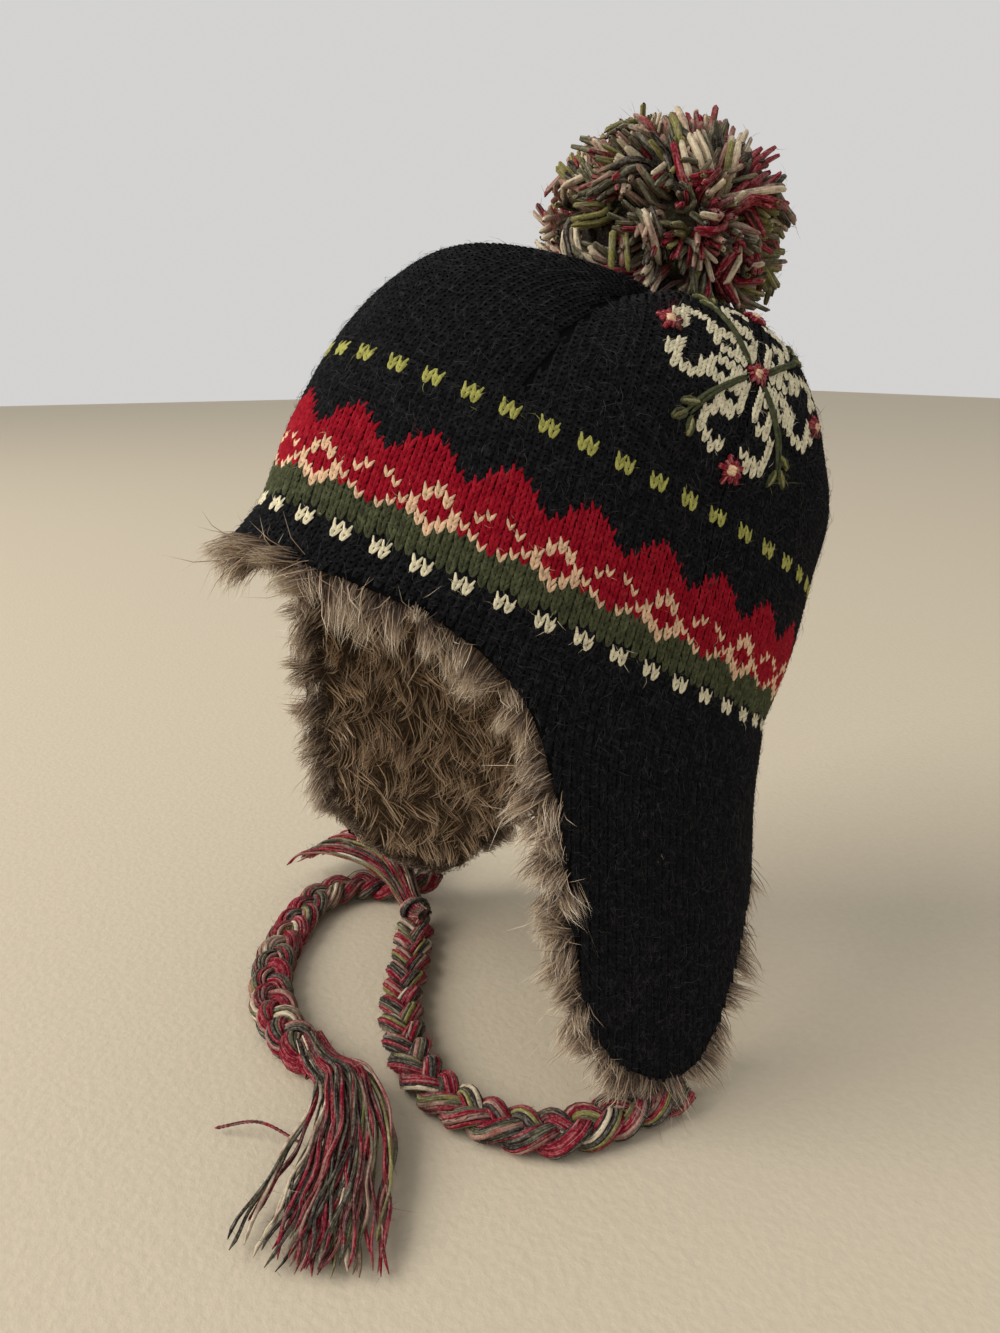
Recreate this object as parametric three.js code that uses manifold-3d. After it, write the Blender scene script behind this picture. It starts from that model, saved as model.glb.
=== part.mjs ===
// Earflap beanie in its worn form: a double knit crown of four lobes that runs
// down into two earflaps and a nape, a deep pile lining with a fringe round
// the edge, a yarn pompom, and a braid with a tassel on each flap.
// Millimetres.  +Z up, front toward -Y, wearer's left toward +X.
// Origin: centre of the head opening in the plane of the lowest dash row.

import * as THREE from 'three';
import Module from 'manifold-3d';

const wasm = await Module();
wasm.setup();

const BAND_TILT = 28.2;       // degrees that the head band rises to the front
const KNIT = 3.0;             // thickness of the double knit
const GAP = 0.3;              // between two pieces that touch in the real one
const BACKING = 2.6;          // lining cloth with the roots of its pile
const PILE = 4.6;             // pile that lies flat inside the hat
const HANG = 50;              // fall over which the cloth turns to vertical
const FLARE = 0.06;           // how far the flaps stand out per mm of fall
const BROW_FLARE = 0.35;      // the same at the middle of the front edge
const NAPE_BULGE = 8;         // how far the nape stands off below the band
const DART_WIDTH = 11;        // degrees, half width of a gathered dart
const LOCK_SPACING = 17;      // between fringe locks along the edge
const POMPOM_HALF = [49, 48, 42];
const POMPOM_LEAN = [-7, -23, 35];   // centre from the crown's gathered point
const GROUND = -174;          // level that the braids rest on
const BRAID_WIDE = 20;
const BRAID_THICK = 13;
const BRAID_STEPS = 25;

// Rows of a table as records that are read by column name.
const table = (names, rows) => rows.map((row) => (
  Object.fromEntries(names.split(' ').map((name, i) => [name, row[i]]))));

// Crown sections from the band up, in the tilted frame of the band.
// up: height; front, back, half: half axes; shift: centre toward the back;
// power: roundness; dart: depth of the four darts; brow, rear: extra swell
// of the front and of the back; lift: how much higher sides and back stand.
const CROWN = table('up front back half shift power dart brow rear lift', [
  [0, 106.4, 105.7, 82.6, 0, 2.19, 0, 21, 0, 0],
  [30, 104, 104.5, 83, -6, 2.17, 0, 19, 6, 0],
  [63, 99.1, 100.9, 80.4, -12.4, 2.16, 0.02, 14, 12, 0],
  [90, 92, 93, 76, -12, 2.15, 0.06, 12, 17, 0],
  [110, 82, 77, 67, -8, 2.12, 0.14, 11, 17, 2],
  [123, 63, 57, 55, -4, 2.08, 0.24, 8, 13, 6],
  [129, 47, 37, 38, 0, 2, 0.3, 4, 6, 9],
  [130, 24, 19, 20, 2, 2, 0.2, 0, 0, 7],
  [128, 0.1, 0.1, 0.1, 2, 2, 0, 0, 0, 0],
]);

// Lower edge of the cloth: fall below the band, with the angle from the front
// where the left and the right side reach it.  The right flap hangs swung
// toward the front.
const EDGE = table('left right fall', [
  [0, 0, 13], [30, 20, 12], [42, 30, 12], [53, 37, 16],
  [62, 43, 23], [67, 47, 31], [70, 50, 41], [72.5, 53, 60],
  [74.5, 56, 88], [76.5, 60.5, 120], [79, 68, 142], [85, 77, 152],
  [92, 85, 155], [99, 93, 153], [106, 100, 145], [114, 108, 128],
  [122, 116, 106], [131, 126, 82], [141, 138, 67], [155, 154, 60],
  [180, 180, 57],
]);
const FLAP_FRONT = { left: 74, right: 54 };   // angle where the edge is steep
const FLAP_TIP = { left: 92, right: 86 };     // angle where the braid hangs

// Parts of the fall, from the edge up to the band, and crown rows to the top.
const FALL_ROWS = [1, 0.8, 0.58, 0.36, 0.16];
const CROWN_ROWS = [0, 0.9, 1.8, 2.6, 3.3, 3.9, 4.4, 4.9, 5.4, 5.9, 6.5, 7.2];

// Routes of the braids over the ground, each from its flap to its tassel.
const LEFT_ROUTE = [
  [93, 8, -166.5], [92, -8, -167], [91, -30, -167], [88, -46, -167],
  [78, -59, -167], [62, -70, -167], [41, -76, -167], [18, -75, -167],
  [-11, -65, -167], [-40, -47, -167], [-73, -28, -167],
];
const RIGHT_ROUTE = [
  [-94, -5, -157.5], [-97, -13, -163], [-104, -22, -167], [-113, -32, -167],
  [-119, -46, -167], [-116, -63, -167], [-97, -84, -167], [-72, -102, -167],
  [-51, -111, -167], [-26, -115, -167], [11, -110, -167],
];
// Middle lines of the tassels, with the half width of the spread strands.
const LEFT_TASSEL = [
  { at: [-73, -28, -164], spread: 8 },
  { at: [-92, -26, -154], spread: 10 },
  { at: [-114, -30, -150], spread: 15 },
  { at: [-141, -35, -155], spread: 21 },
  { at: [-163, -40, -168], spread: 26 },
];
const RIGHT_TASSEL = [
  { at: [10, -110, -165], spread: 8 },
  { at: [35, -110, -158], spread: 12 },
  { at: [56, -118, -163], spread: 17 },
  { at: [78, -134, -167], spread: 22 },
  { at: [96, -148, -169], spread: 27 },
];

const RAD = Math.PI / 180;
const TILT = BAND_TILT * RAD;
const add = (a, b, k = 1) => [a[0] + b[0] * k, a[1] + b[1] * k, a[2] + b[2] * k];
const dot = (a, b) => a[0] * b[0] + a[1] * b[1] + a[2] * b[2];
const cross = (a, b) => [
  a[1] * b[2] - a[2] * b[1], a[2] * b[0] - a[0] * b[2], a[0] * b[1] - a[1] * b[0],
];
const unit = (a) => {
  const n = Math.hypot(...a);
  return [a[0] / n, a[1] / n, a[2] / n];
};
const clamp = (x, lo, hi) => Math.min(hi, Math.max(lo, x));
const signPow = (x, p) => Math.sign(x) * Math.abs(x) ** p;
const hash = (n) => {
  const s = Math.sin(n * 127.1 + 3.7) * 43758.5453;
  return s - Math.floor(s);
};

// Smooth value of one column of a table at a fractional row.
function along(table, key, t) {
  const i = clamp(Math.floor(t), 0, table.length - 2);
  const f = t - i;
  const v = (k) => table[clamp(i + k, 0, table.length - 1)][key];
  const m0 = (v(1) - v(-1)) / 2;
  const m1 = (v(2) - v(0)) / 2;
  const f2 = f * f;
  const f3 = f2 * f;
  return (2 * f3 - 3 * f2 + 1) * v(0) + (f3 - 2 * f2 + f) * m0
    + (3 * f2 - 2 * f3) * v(1) + (f3 - f2) * m1;
}

// An angle from the front toward either side, and which side it is.
const sideOf = (deg) => (((deg % 360) + 360) % 360 <= 180 ? 'left' : 'right');
const offFront = (deg) => Math.abs(((deg + 180) % 360 + 360) % 360 - 180);

// Fall of the lower edge at an angle, straight between the rows.
function edgeFall(deg) {
  const d = offFront(deg);
  const side = sideOf(deg);
  const k = EDGE.findIndex((row, i) => i > 0 && d <= row[side] + 1e-9);
  const a = EDGE[k - 1];
  const b = EDGE[k];
  return a.fall + (b.fall - a.fall) * (d - a[side]) / (b[side] - a[side]);
}

// Point of the outer face above the band: angle in degrees, fractional row.
function crownPoint(deg, row) {
  const q = {};
  for (const key of Object.keys(CROWN[0])) q[key] = along(CROWN, key, row);
  const s = Math.sin(deg * RAD);
  const c = Math.cos(deg * RAD);
  const off = offFront(deg);
  const fromBack = 180 - off;
  const toDart = Math.abs(off % 90 - 45);
  const pinch = 1 - q.dart * Math.exp(-toDart / DART_WIDTH);
  const reach = c > 0 ? q.front + q.brow * Math.exp(-((off / 32) ** 2))
    : q.back + q.rear * Math.exp(-((fromBack / 60) ** 2));
  let x = q.half * signPow(s, 2 / q.power) * pinch;
  if (c < 0) x += q.rear * 0.35 * Math.exp(-(((fromBack - 50) / 35) ** 2)) * Math.sign(s);
  const y = q.shift - reach * signPow(c, 2 / q.power) * pinch;
  const w = q.up + q.lift * (1 - Math.max(c, 0));
  return [x, y * Math.cos(TILT) + w * Math.sin(TILT), w * Math.cos(TILT) - y * Math.sin(TILT)];
}

// Point of the outer face below the band: angle in degrees, fall in mm.
function fallPoint(deg, fall) {
  const s = Math.sin(deg * RAD);
  const c = Math.cos(deg * RAD);
  const brow = Math.max(c, 0) ** 3;
  let p = crownPoint(deg, 0);
  const steps = 24;
  for (let j = 0; j < steps; j++) {
    const k = clamp(fall * (j + 0.5) / steps / HANG, 0, 1);
    const turn = TILT * (1 - k * k * (3 - 2 * k) * (1 - brow));
    p = add(p, [0, -Math.sin(turn), -Math.cos(turn)], fall / steps);
  }
  const rear = clamp(0.25 - c, 0, 1) * (1 - Math.exp(-fall / 20)) * NAPE_BULGE;
  return [
    p[0] + FLARE * fall * s * Math.abs(s) + rear * s,
    p[1] - BROW_FLARE * fall * brow - rear * c,
    p[2],
  ];
}

// Rows below zero are parts of the fall, rows from zero up are crown rows.
const facePoint = (deg, row) => (row < 0
  ? fallPoint(deg, -row * edgeFall(deg)) : crownPoint(deg, row));

// Outward direction of the face at a point.
function faceNormal(deg, row) {
  const e = 0.02;
  if (row > CROWN.length - 1.3) return [0, Math.sin(TILT), Math.cos(TILT)];
  const a = row < 0 ? fallPoint(deg + 1, -row * edgeFall(deg)) : crownPoint(deg + 1, row);
  const b = row < 0 ? fallPoint(deg - 1, -row * edgeFall(deg)) : crownPoint(deg - 1, row);
  const up = row < 0 ? fallPoint(deg, -row * edgeFall(deg) - 2) : crownPoint(deg, row + e);
  return unit(cross(add(a, b, -1), add(up, facePoint(deg, row), -1)));
}

const inset = (deg, row, depth) => add(facePoint(deg, row), faceNormal(deg, row), -depth);

// Angles of the columns: close together at the flap fronts and the darts.
function columnAngles() {
  const half = (side) => {
    const list = [];
    let a = 0;
    while (a < 177) {
      list.push(a);
      const flap = Math.exp(-(((a - FLAP_FRONT[side]) / 6) ** 2));
      const dart = Math.exp(-(((a - 45) / 5) ** 2)) + Math.exp(-(((a - 135) / 5) ** 2));
      a += 9.6 - 6.2 * Math.max(flap, dart * 0.6);
    }
    return list.map((v) => v * 180 / a);
  };
  const right = half('right').slice(1).map((v) => 360 - v).reverse();
  return [...half('left'), 180, ...right];
}

function geometryOf(points, faces) {
  const g = new THREE.BufferGeometry();
  g.setAttribute('position', new THREE.Float32BufferAttribute(points.flat(), 3));
  g.setIndex(faces.flat());
  return g;
}

function solidOf(points, faces) {
  return new wasm.Manifold(new wasm.Mesh({
    numProp: 3,
    vertProperties: new Float32Array(points.flat()),
    triVerts: new Uint32Array(faces.flat()),
  }));
}

function geometryOfSolid(solid) {
  const m = solid.getMesh();
  const g = new THREE.BufferGeometry();
  g.setAttribute('position', new THREE.BufferAttribute(new Float32Array(m.vertProperties), 3));
  g.setIndex(new THREE.BufferAttribute(new Uint32Array(m.triVerts), 1));
  return g;
}

// Closed hollow body between two depths under the outer face of the hat.
function hollowBody(outer, inner) {
  const angles = columnAngles();
  const rows = [...FALL_ROWS.map((r) => -r), ...CROWN_ROWS];
  const n = angles.length;
  const points = [];
  const faces = [];
  const axis = [0, Math.sin(TILT), Math.cos(TILT)];
  const top = crownPoint(0, CROWN.length - 1);
  for (const depth of [outer, inner]) {
    for (const row of rows) {
      for (const deg of angles) points.push(inset(deg, row, depth(deg, row)));
    }
    points.push(add(top, axis, -depth(0, CROWN.length - 1)));
  }
  const layer = rows.length * n + 1;
  const at = (side, j, i) => side * layer + j * n + (i % n);
  for (let side = 0; side < 2; side++) {
    const put = (a, b, c) => faces.push(side ? [a, c, b] : [a, b, c]);
    for (let j = 0; j + 1 < rows.length; j++) {
      for (let i = 0; i < n; i++) {
        put(at(side, j, i), at(side, j, i + 1), at(side, j + 1, i + 1));
        put(at(side, j, i), at(side, j + 1, i + 1), at(side, j + 1, i));
      }
    }
    const last = rows.length - 1;
    const pole = side * layer + layer - 1;
    for (let i = 0; i < n; i++) put(at(side, last, i), at(side, last, i + 1), pole);
  }
  for (let i = 0; i < n; i++) {
    faces.push([at(0, 0, i + 1), at(0, 0, i), at(1, 0, i)]);
    faces.push([at(0, 0, i + 1), at(1, 0, i), at(1, 0, i + 1)]);
  }
  return { points, faces };
}

// Swept body: rings of an ellipse along a list of stations, closed at both
// ends.  A station has its place, its half width and its half thickness.
function sweep(stations, sides, upHint = [0, 0, 1]) {
  const points = [];
  const faces = [];
  const n = stations.length;
  stations.forEach((s, k) => {
    const a = stations[Math.max(k - 1, 0)].at;
    const b = stations[Math.min(k + 1, n - 1)].at;
    const t = unit(add(b, a, -1));
    const side = unit(cross(t, upHint));
    const up = cross(side, t);
    for (let i = 0; i < sides; i++) {
      const q = 2 * Math.PI * (i + 0.5) / sides;
      points.push(add(add(s.at, side, Math.cos(q) * s.wide), up, Math.sin(q) * s.thick));
    }
  });
  for (let k = 0; k + 1 < n; k++) {
    for (let i = 0; i < sides; i++) {
      const j = (i + 1) % sides;
      const a = k * sides;
      const b = a + sides;
      faces.push([a + i, b + i, b + j], [a + i, b + j, a + j]);
    }
  }
  for (let i = 1; i + 1 < sides; i++) {
    faces.push([0, i, i + 1]);
    const e = (n - 1) * sides;
    faces.push([e, e + i + 1, e + i]);
  }
  return { points, faces };
}

// Lock of hair or yarn: a tapered strand that leaves its root along one
// direction and, past the part it holds straight, bends toward another.
function lock(root, dir, bend, length, hold, wide, thick, sides, hint, shape) {
  const stations = shape.map(([t, w]) => ({
    at: add(add(root, dir, length * t), bend, length * Math.max(t - hold, 0) ** 2),
    wide: wide * w,
    thick: thick * w,
  }));
  return sweep(stations, sides, hint);
}

function joined(bodies) {
  let all = null;
  for (const b of bodies) {
    const s = solidOf(b.points, b.faces);
    const keep = s.volume() < 0 ? solidOf(b.points, b.faces.map(([x, y, z]) => [x, z, y])) : s;
    all = all ? all.add(keep) : keep;
  }
  return all;
}

const largest = (solid) => solid.decompose().sort((a, b) => b.volume() - a.volume())[0];

// The fringe: locks round the whole edge, rooted in the lining.
function fringe() {
  const locks = [];
  const depth = KNIT + GAP + 3.6;
  let walked = LOCK_SPACING;
  let before = null;
  let count = 0;
  for (let deg = 0; deg < 360; deg += 0.25) {
    const p = inset(deg, -1, depth);
    if (before) walked += Math.hypot(...add(p, before, -1));
    before = p;
    const off = offFront(deg);
    if (walked < LOCK_SPACING || Math.abs(off - FLAP_TIP[sideOf(deg)]) < 5) continue;
    walked = 0;
    count += 1;
    const t = unit(add(inset(deg + 0.5, -1, depth), inset(deg - 0.5, -1, depth), -1));
    const out = faceNormal(deg, -1);
    const away = unit(cross(t, out));
    const down = away[2] > 0.3 ? away.map((v) => -v) : away;
    const long = 17 + 6 * hash(count) + (off < 40 ? 9 : 0);
    const len = Math.min(long, (p[2] - GROUND - 4) / Math.max(-down[2], 0.2) + 6);
    const root = add(p, down, -6);
    const bend = add([0, 0, -0.1], out, 0.8 + 0.2 * hash(count + 9));
    const sway = add(bend, t, 0.5 * (hash(count + 5) - 0.5));
    locks.push(lock(root, down, sway, len, 0.4, 8.2, 2.1, 4, out,
      [[0, 0.9], [0.6, 0.9], [1.1, 0.2]]));
  }
  return locks;
}

// The pompom: petals of yarn on a round core, cut clear of the crown.
function pompomSolid() {
  const axis = [0, Math.sin(TILT), Math.cos(TILT)];
  const pole = crownPoint(0, CROWN.length - 1);
  const side = [0, Math.cos(TILT), -Math.sin(TILT)];
  const c = add(add(add(pole, axis, POMPOM_LEAN[2]), side, POMPOM_LEAN[1]), [1, 0, 0], POMPOM_LEAN[0]);
  const core = [];
  for (const [t, w] of [[-0.72, 0.32], [-0.5, 0.6], [0, 0.78], [0.5, 0.6], [0.72, 0.32]]) {
    core.push({
      at: add(c, axis, POMPOM_HALF[2] * t),
      wide: POMPOM_HALF[0] * w,
      thick: POMPOM_HALF[1] * w,
    });
  }
  const bodies = [sweep(core, 12, [1, 0, 0])];
  const petals = 28;
  for (let k = 0; k < petals; k++) {
    const z = 1 - 2 * (k + 0.5) / petals;
    const r = Math.sqrt(1 - z * z);
    const q = k * 2.399963;
    const d = unit([r * Math.cos(q), r * Math.sin(q), z]);
    const reach = Math.hypot(d[0] * POMPOM_HALF[0], d[1] * POMPOM_HALF[1], d[2] * POMPOM_HALF[2]);
    const start = add(c, d, reach * 0.5);
    const wobble = [0.3 * (hash(k) - 0.5), 0.3 * (hash(k + 50) - 0.5), 0.3 * (hash(k + 90) - 0.5)];
    const hint = Math.abs(d[2]) > 0.9 ? [1, 0, 0] : [0, 0, 1];
    bodies.push(lock(start, d, wobble, reach * (0.42 + 0.08 * hash(k + 7)), 0, 11.4, 10.4, 5, hint,
      [[0, 0.7], [0.72, 1], [1.06, 0.42]]));
  }
  const clear = hollowBody(() => -0.5, () => 12);
  return largest(joined(bodies).subtract(solidOf(clear.points, clear.faces)));
}

// A braid: a flat oval run along its route.
function braidBody(route, grow = 0) {
  const curve = new THREE.CatmullRomCurve3(route.map((p) => new THREE.Vector3(...p)));
  const stations = [];
  for (let k = 0; k <= BRAID_STEPS; k++) {
    const p = curve.getPointAt(k / BRAID_STEPS);
    stations.push({ at: p.toArray(), wide: BRAID_WIDE / 2 + grow, thick: BRAID_THICK / 2 + grow });
  }
  return sweep(stations, 8);
}

// A tassel: the tie at its head and strands that fan out along its line.
function tasselSolid(line, seed, clear, grow = 0) {
  const curve = new THREE.CatmullRomCurve3(line.map((s) => new THREE.Vector3(...s.at)));
  const place = (t) => curve.getPoint(clamp(t, 0, 1)).toArray();
  const head = [];
  for (const [t, w] of [[0, 0.7], [0.05, 1.05], [0.1, 1.05], [0.16, 0.9]]) {
    head.push({ at: place(t), wide: 9 * w + grow, thick: 6.6 * w + grow });
  }
  const bodies = [sweep(head, 8)];
  const strands = 6;
  for (let i = 0; i < strands; i++) {
    const across = (i / (strands - 1) - 0.5) * 2;
    const end = 0.9 + 0.1 * hash(i + seed);
    const stations = [];
    for (let k = 0; k <= 5; k++) {
      const t = 0.04 + (end - 0.04) * k / 5;
      const p = place(t);
      const ahead = place(t + 0.02);
      const behind = place(t - 0.02);
      const side = unit(cross(unit(add(ahead, behind, -1)), [0, 0, 1]));
      const spread = along(line, 'spread', t * (line.length - 1)) * 0.86;
      const lift = 1.2 * (hash(i * 3 + seed) - 0.5);
      const w = k === 5 ? 0.5 : 1;
      stations.push({
        at: add(add(p, side, across * spread), [0, 0, 1], lift),
        wide: 4.8 * w + grow,
        thick: (4.6 - 1.6 * t) * w + grow,
      });
    }
    bodies.push(sweep(stations, 5));
  }
  let solid = joined(bodies);
  for (const c of clear) solid = solid.subtract(c);
  return solid;
}

function mesh(name, geometry, color, roughness) {
  geometry.computeVertexNormals();
  const material = new THREE.MeshStandardMaterial({ color, roughness, metalness: 0 });
  const m = new THREE.Mesh(geometry, material);
  m.name = name;
  return m;
}

const group = new THREE.Group();
group.name = 'earflap_beanie';

const knit = hollowBody(() => 0, () => KNIT);
group.add(mesh('knit_shell', geometryOf(knit.points, knit.faces), 0x1f1e20, 0.95));

const pileDepth = (deg, row) => KNIT + GAP + BACKING + PILE
  * (0.72 + 0.28 * Math.sin(deg * 0.35 + row * 2.6) * Math.sin(row * 5.1 + deg * 0.11));
const lining = hollowBody(() => KNIT + GAP, (deg, row) => (row > CROWN.length - 1.3
  ? KNIT + GAP + BACKING + PILE * 0.72 : pileDepth(deg, row)));
const clearOf = [LEFT_ROUTE, RIGHT_ROUTE].map((r) => joined([braidBody(r, GAP)]));
const laid = [...clearOf, tasselSolid(LEFT_TASSEL, 11, [], 0.5)];
const lined = laid.reduce((s, c) => s.subtract(c), joined([lining, ...fringe()]));
group.add(mesh('fur_lining', geometryOfSolid(largest(lined)), 0x6b5a4a, 1));

group.add(mesh('pompom', geometryOfSolid(pompomSolid()), 0x6a5a4c, 1));

const left = braidBody(LEFT_ROUTE);
const right = braidBody(RIGHT_ROUTE);
group.add(mesh('left_braid', geometryOf(left.points, left.faces), 0x5b3a38, 1));
group.add(mesh('right_braid', geometryOf(right.points, right.faces), 0x5b3a38, 1));

group.add(mesh('left_tassel', geometryOfSolid(tasselSolid(LEFT_TASSEL, 11, clearOf)), 0x6a4a44, 1));
group.add(mesh('right_tassel', geometryOfSolid(tasselSolid(RIGHT_TASSEL, 31, clearOf)), 0x6a4a44, 1));

export default group;
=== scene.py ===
"""Earflap beanie: knitted wool, pile lining, yarn pompom and two braids."""
import math

import bpy
import numpy as np
from mathutils import Matrix, Vector


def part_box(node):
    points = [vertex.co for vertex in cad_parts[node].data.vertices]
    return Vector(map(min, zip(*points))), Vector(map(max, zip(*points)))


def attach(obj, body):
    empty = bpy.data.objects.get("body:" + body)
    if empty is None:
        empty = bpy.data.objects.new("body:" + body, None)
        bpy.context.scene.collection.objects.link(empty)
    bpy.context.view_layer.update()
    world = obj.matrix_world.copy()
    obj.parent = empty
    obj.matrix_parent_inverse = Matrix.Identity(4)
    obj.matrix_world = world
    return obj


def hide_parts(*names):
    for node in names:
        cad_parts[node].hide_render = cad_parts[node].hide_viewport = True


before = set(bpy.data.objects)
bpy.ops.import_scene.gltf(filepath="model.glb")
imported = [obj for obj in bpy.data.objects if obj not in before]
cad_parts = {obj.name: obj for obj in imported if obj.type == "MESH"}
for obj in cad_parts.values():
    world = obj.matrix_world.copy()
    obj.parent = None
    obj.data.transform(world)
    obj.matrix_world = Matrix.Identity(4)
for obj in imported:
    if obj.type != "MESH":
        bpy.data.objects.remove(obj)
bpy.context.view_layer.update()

bl_info = {
    "name": "Earflap Beanie",
    "version": (1, 0, 0),
    "blender": (4, 5, 0),
    "location": "3D View > Sidebar > Beanie",
    "description": "Builds a knitted earflap beanie over its packed solids",
    "category": "Object",
}

# Shape of the hat, the same numbers as the solids have.  Millimetres and
# degrees.  Angles run from the front over the wearer's left.
TILT = math.radians(28.2)    # of the band's plane, its front up
KNIT = 3.0                   # thickness of the double knit
GAP = 0.3                    # from the knit to the lining
HANG = 50.0                  # fall over which the cloth turns to hang plumb
FLARE = 0.06                 # outward at the sides, for each millimetre of fall
BROW_FLARE = 0.35            # forward at the brow, for each millimetre of fall
NAPE_BULGE = 8.0             # outward at the back, well below the band
DART_WIDTH = 11.0            # degrees to either side of a crease
BAND_ROUND = 629.6           # round the face of the knit at the band
POMPOM_HALF = np.array([49.0, 48.0, 42.0])
POMPOM_LEAN = np.array([-7.0, -23.0, 35.0])    # left, back and up from the crown's tip

# up front back half shift power dart brow rear lift
CROWN = np.array([
    [0, 106.4, 105.7, 82.6, 0, 2.19, 0, 21, 0, 0],
    [30, 104, 104.5, 83, -6, 2.17, 0, 19, 6, 0],
    [63, 99.1, 100.9, 80.4, -12.4, 2.16, 0.02, 14, 12, 0],
    [90, 92, 93, 76, -12, 2.15, 0.06, 12, 17, 0],
    [110, 82, 77, 67, -8, 2.12, 0.14, 11, 17, 2],
    [123, 63, 57, 55, -4, 2.08, 0.24, 8, 13, 6],
    [129, 47, 37, 38, 0, 2, 0.3, 4, 6, 9],
    [130, 24, 19, 20, 2, 2, 0.2, 0, 0, 7],
    [128, 0.1, 0.1, 0.1, 2, 2, 0, 0, 0, 0],
])
# left right fall
EDGE = np.array([
    [0, 0, 13], [30, 20, 12], [42, 30, 12], [53, 37, 16], [62, 43, 23],
    [67, 47, 31], [70, 50, 41], [72.5, 53, 60], [74.5, 56, 88],
    [76.5, 60.5, 120], [79, 68, 142], [85, 77, 152], [92, 85, 155],
    [99, 93, 153], [106, 100, 145], [114, 108, 128], [122, 116, 106],
    [131, 126, 82], [141, 138, 67], [155, 154, 60], [180, 180, 57],
])

# Routes of the braids over the ground, in metres.
LEFT_ROUTE = [
    (0.093, 0.008, -0.1665), (0.092, -0.008, -0.167), (0.091, -0.030, -0.167),
    (0.088, -0.046, -0.167), (0.078, -0.059, -0.167), (0.062, -0.070, -0.167),
    (0.041, -0.076, -0.167), (0.018, -0.075, -0.167), (-0.011, -0.065, -0.167),
    (-0.040, -0.047, -0.167), (-0.073, -0.028, -0.167),
]
RIGHT_ROUTE = [
    (-0.094, -0.005, -0.1575), (-0.097, -0.013, -0.163), (-0.104, -0.022, -0.167),
    (-0.113, -0.032, -0.167), (-0.119, -0.046, -0.167), (-0.116, -0.063, -0.167),
    (-0.097, -0.084, -0.167), (-0.072, -0.102, -0.167), (-0.051, -0.111, -0.167),
    (-0.026, -0.115, -0.167), (0.011, -0.110, -0.167),
]
# Middle lines of the tassels: place, then half width of the spread, in mm.
LEFT_TASSEL = np.array([
    [-73, -28, -164, 8], [-92, -28, -152, 12], [-114, -32, -145, 19],
    [-141, -37, -150, 27], [-161, -42, -165, 32],
], float)
RIGHT_TASSEL = np.array([
    [10, -110, -165, 8], [35, -110, -158, 12], [56, -118, -163, 17],
    [78, -134, -167, 22], [96, -148, -169, 27],
], float)


# The view: place in metres, heading and pitch in degrees, and focal length and height
# of its frame in pixels.
VIEW_FROM = (0.3381, -0.2168, 0.1084)
VIEW_YAW, VIEW_PITCH = 59.87, 17.39
FOCAL, FRAME_HIGH = 1001, 1333
FLOOR_HALF = 6.0
SENSOR = 36.0


def linear(text):
    """One sRGB hex colour as linear red, green, blue and 1."""
    out = []
    for i in (1, 3, 5):
        c = int(text[i:i + 2], 16) / 255
        out.append(c / 12.92 if c <= 0.04045 else ((c + 0.055) / 1.055) ** 2.4)
    return (*out, 1.0)


def colour_setting(name, description, text):
    """A colour setting, given as one sRGB hex colour."""
    return bpy.props.FloatVectorProperty(
        name=name, description=description, subtype="COLOR", size=4, default=linear(text))


class BeanieKnit(bpy.types.PropertyGroup):
    """Sizes and colours of the knitted outside."""
    stitches: bpy.props.IntProperty(
        name="Stitches round", description="Wales round the head band", default=172, min=60)
    row: bpy.props.FloatProperty(
        name="Row height", description="Height of one knitted row in millimetres", default=2.06)
    fibres: bpy.props.IntProperty(
        name="Loose fibres", description="Fine fibres that stand off the wool", default=21000)
    ground: colour_setting("Ground", "Black wool of the ground", "#111114")
    zigzag: colour_setting("Zigzag", "Crimson wool of the zigzag", "#920a20")
    hill: colour_setting("Hills", "Olive wool under the zigzag", "#414531")
    dash: colour_setting("Upper dashes", "Lime wool of the upper dashes", "#a3a256")
    ecru: colour_setting("Lower dashes", "Ecru wool of the lower dashes and the star", "#dcd3b4")
    diamond: colour_setting("Diamonds", "Cream wool of the diamonds", "#dcb896")


class BeanieLining(bpy.types.PropertyGroup):
    """Sizes and colours of the pile lining."""
    rim: bpy.props.IntProperty(
        name="Rim hairs", description="Hairs round the edge", default=25000)
    inner: bpy.props.IntProperty(
        name="Inner tufts", description="Tufts inside the hat", default=1400)
    length: bpy.props.FloatProperty(
        name="Pile length", description="Length of the pile in millimetres", default=20.0)
    root: colour_setting("Root", "Pile at its root", "#4e3d30")
    middle: colour_setting("Middle", "Pile along its length", "#b39b7f")
    tip: colour_setting("Tip", "Pile at its tip", "#e6dbc6")


class BeanieYarn(bpy.types.PropertyGroup):
    """Sizes and colours of the yarn in the pompom, braids and tassels."""
    thick: bpy.props.FloatProperty(
        name="Yarn thickness", description="One strand in millimetres", default=1.5)
    tufts: bpy.props.IntProperty(
        name="Pompom tufts", description="Tufts of yarn in the pompom", default=320)
    crimson: colour_setting("Crimson", "Crimson strands", "#7d1026")
    sage: colour_setting("Sage", "Sage green strands", "#57543f")
    moss: colour_setting("Moss", "Light green strands", "#76713d")
    ecru: colour_setting("Ecru", "Ecru strands", "#bfb096")
    beige: colour_setting("Beige", "Pink beige strands", "#8f6a5e")
    charcoal: colour_setting("Charcoal", "Charcoal strands", "#2f2824")


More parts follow.
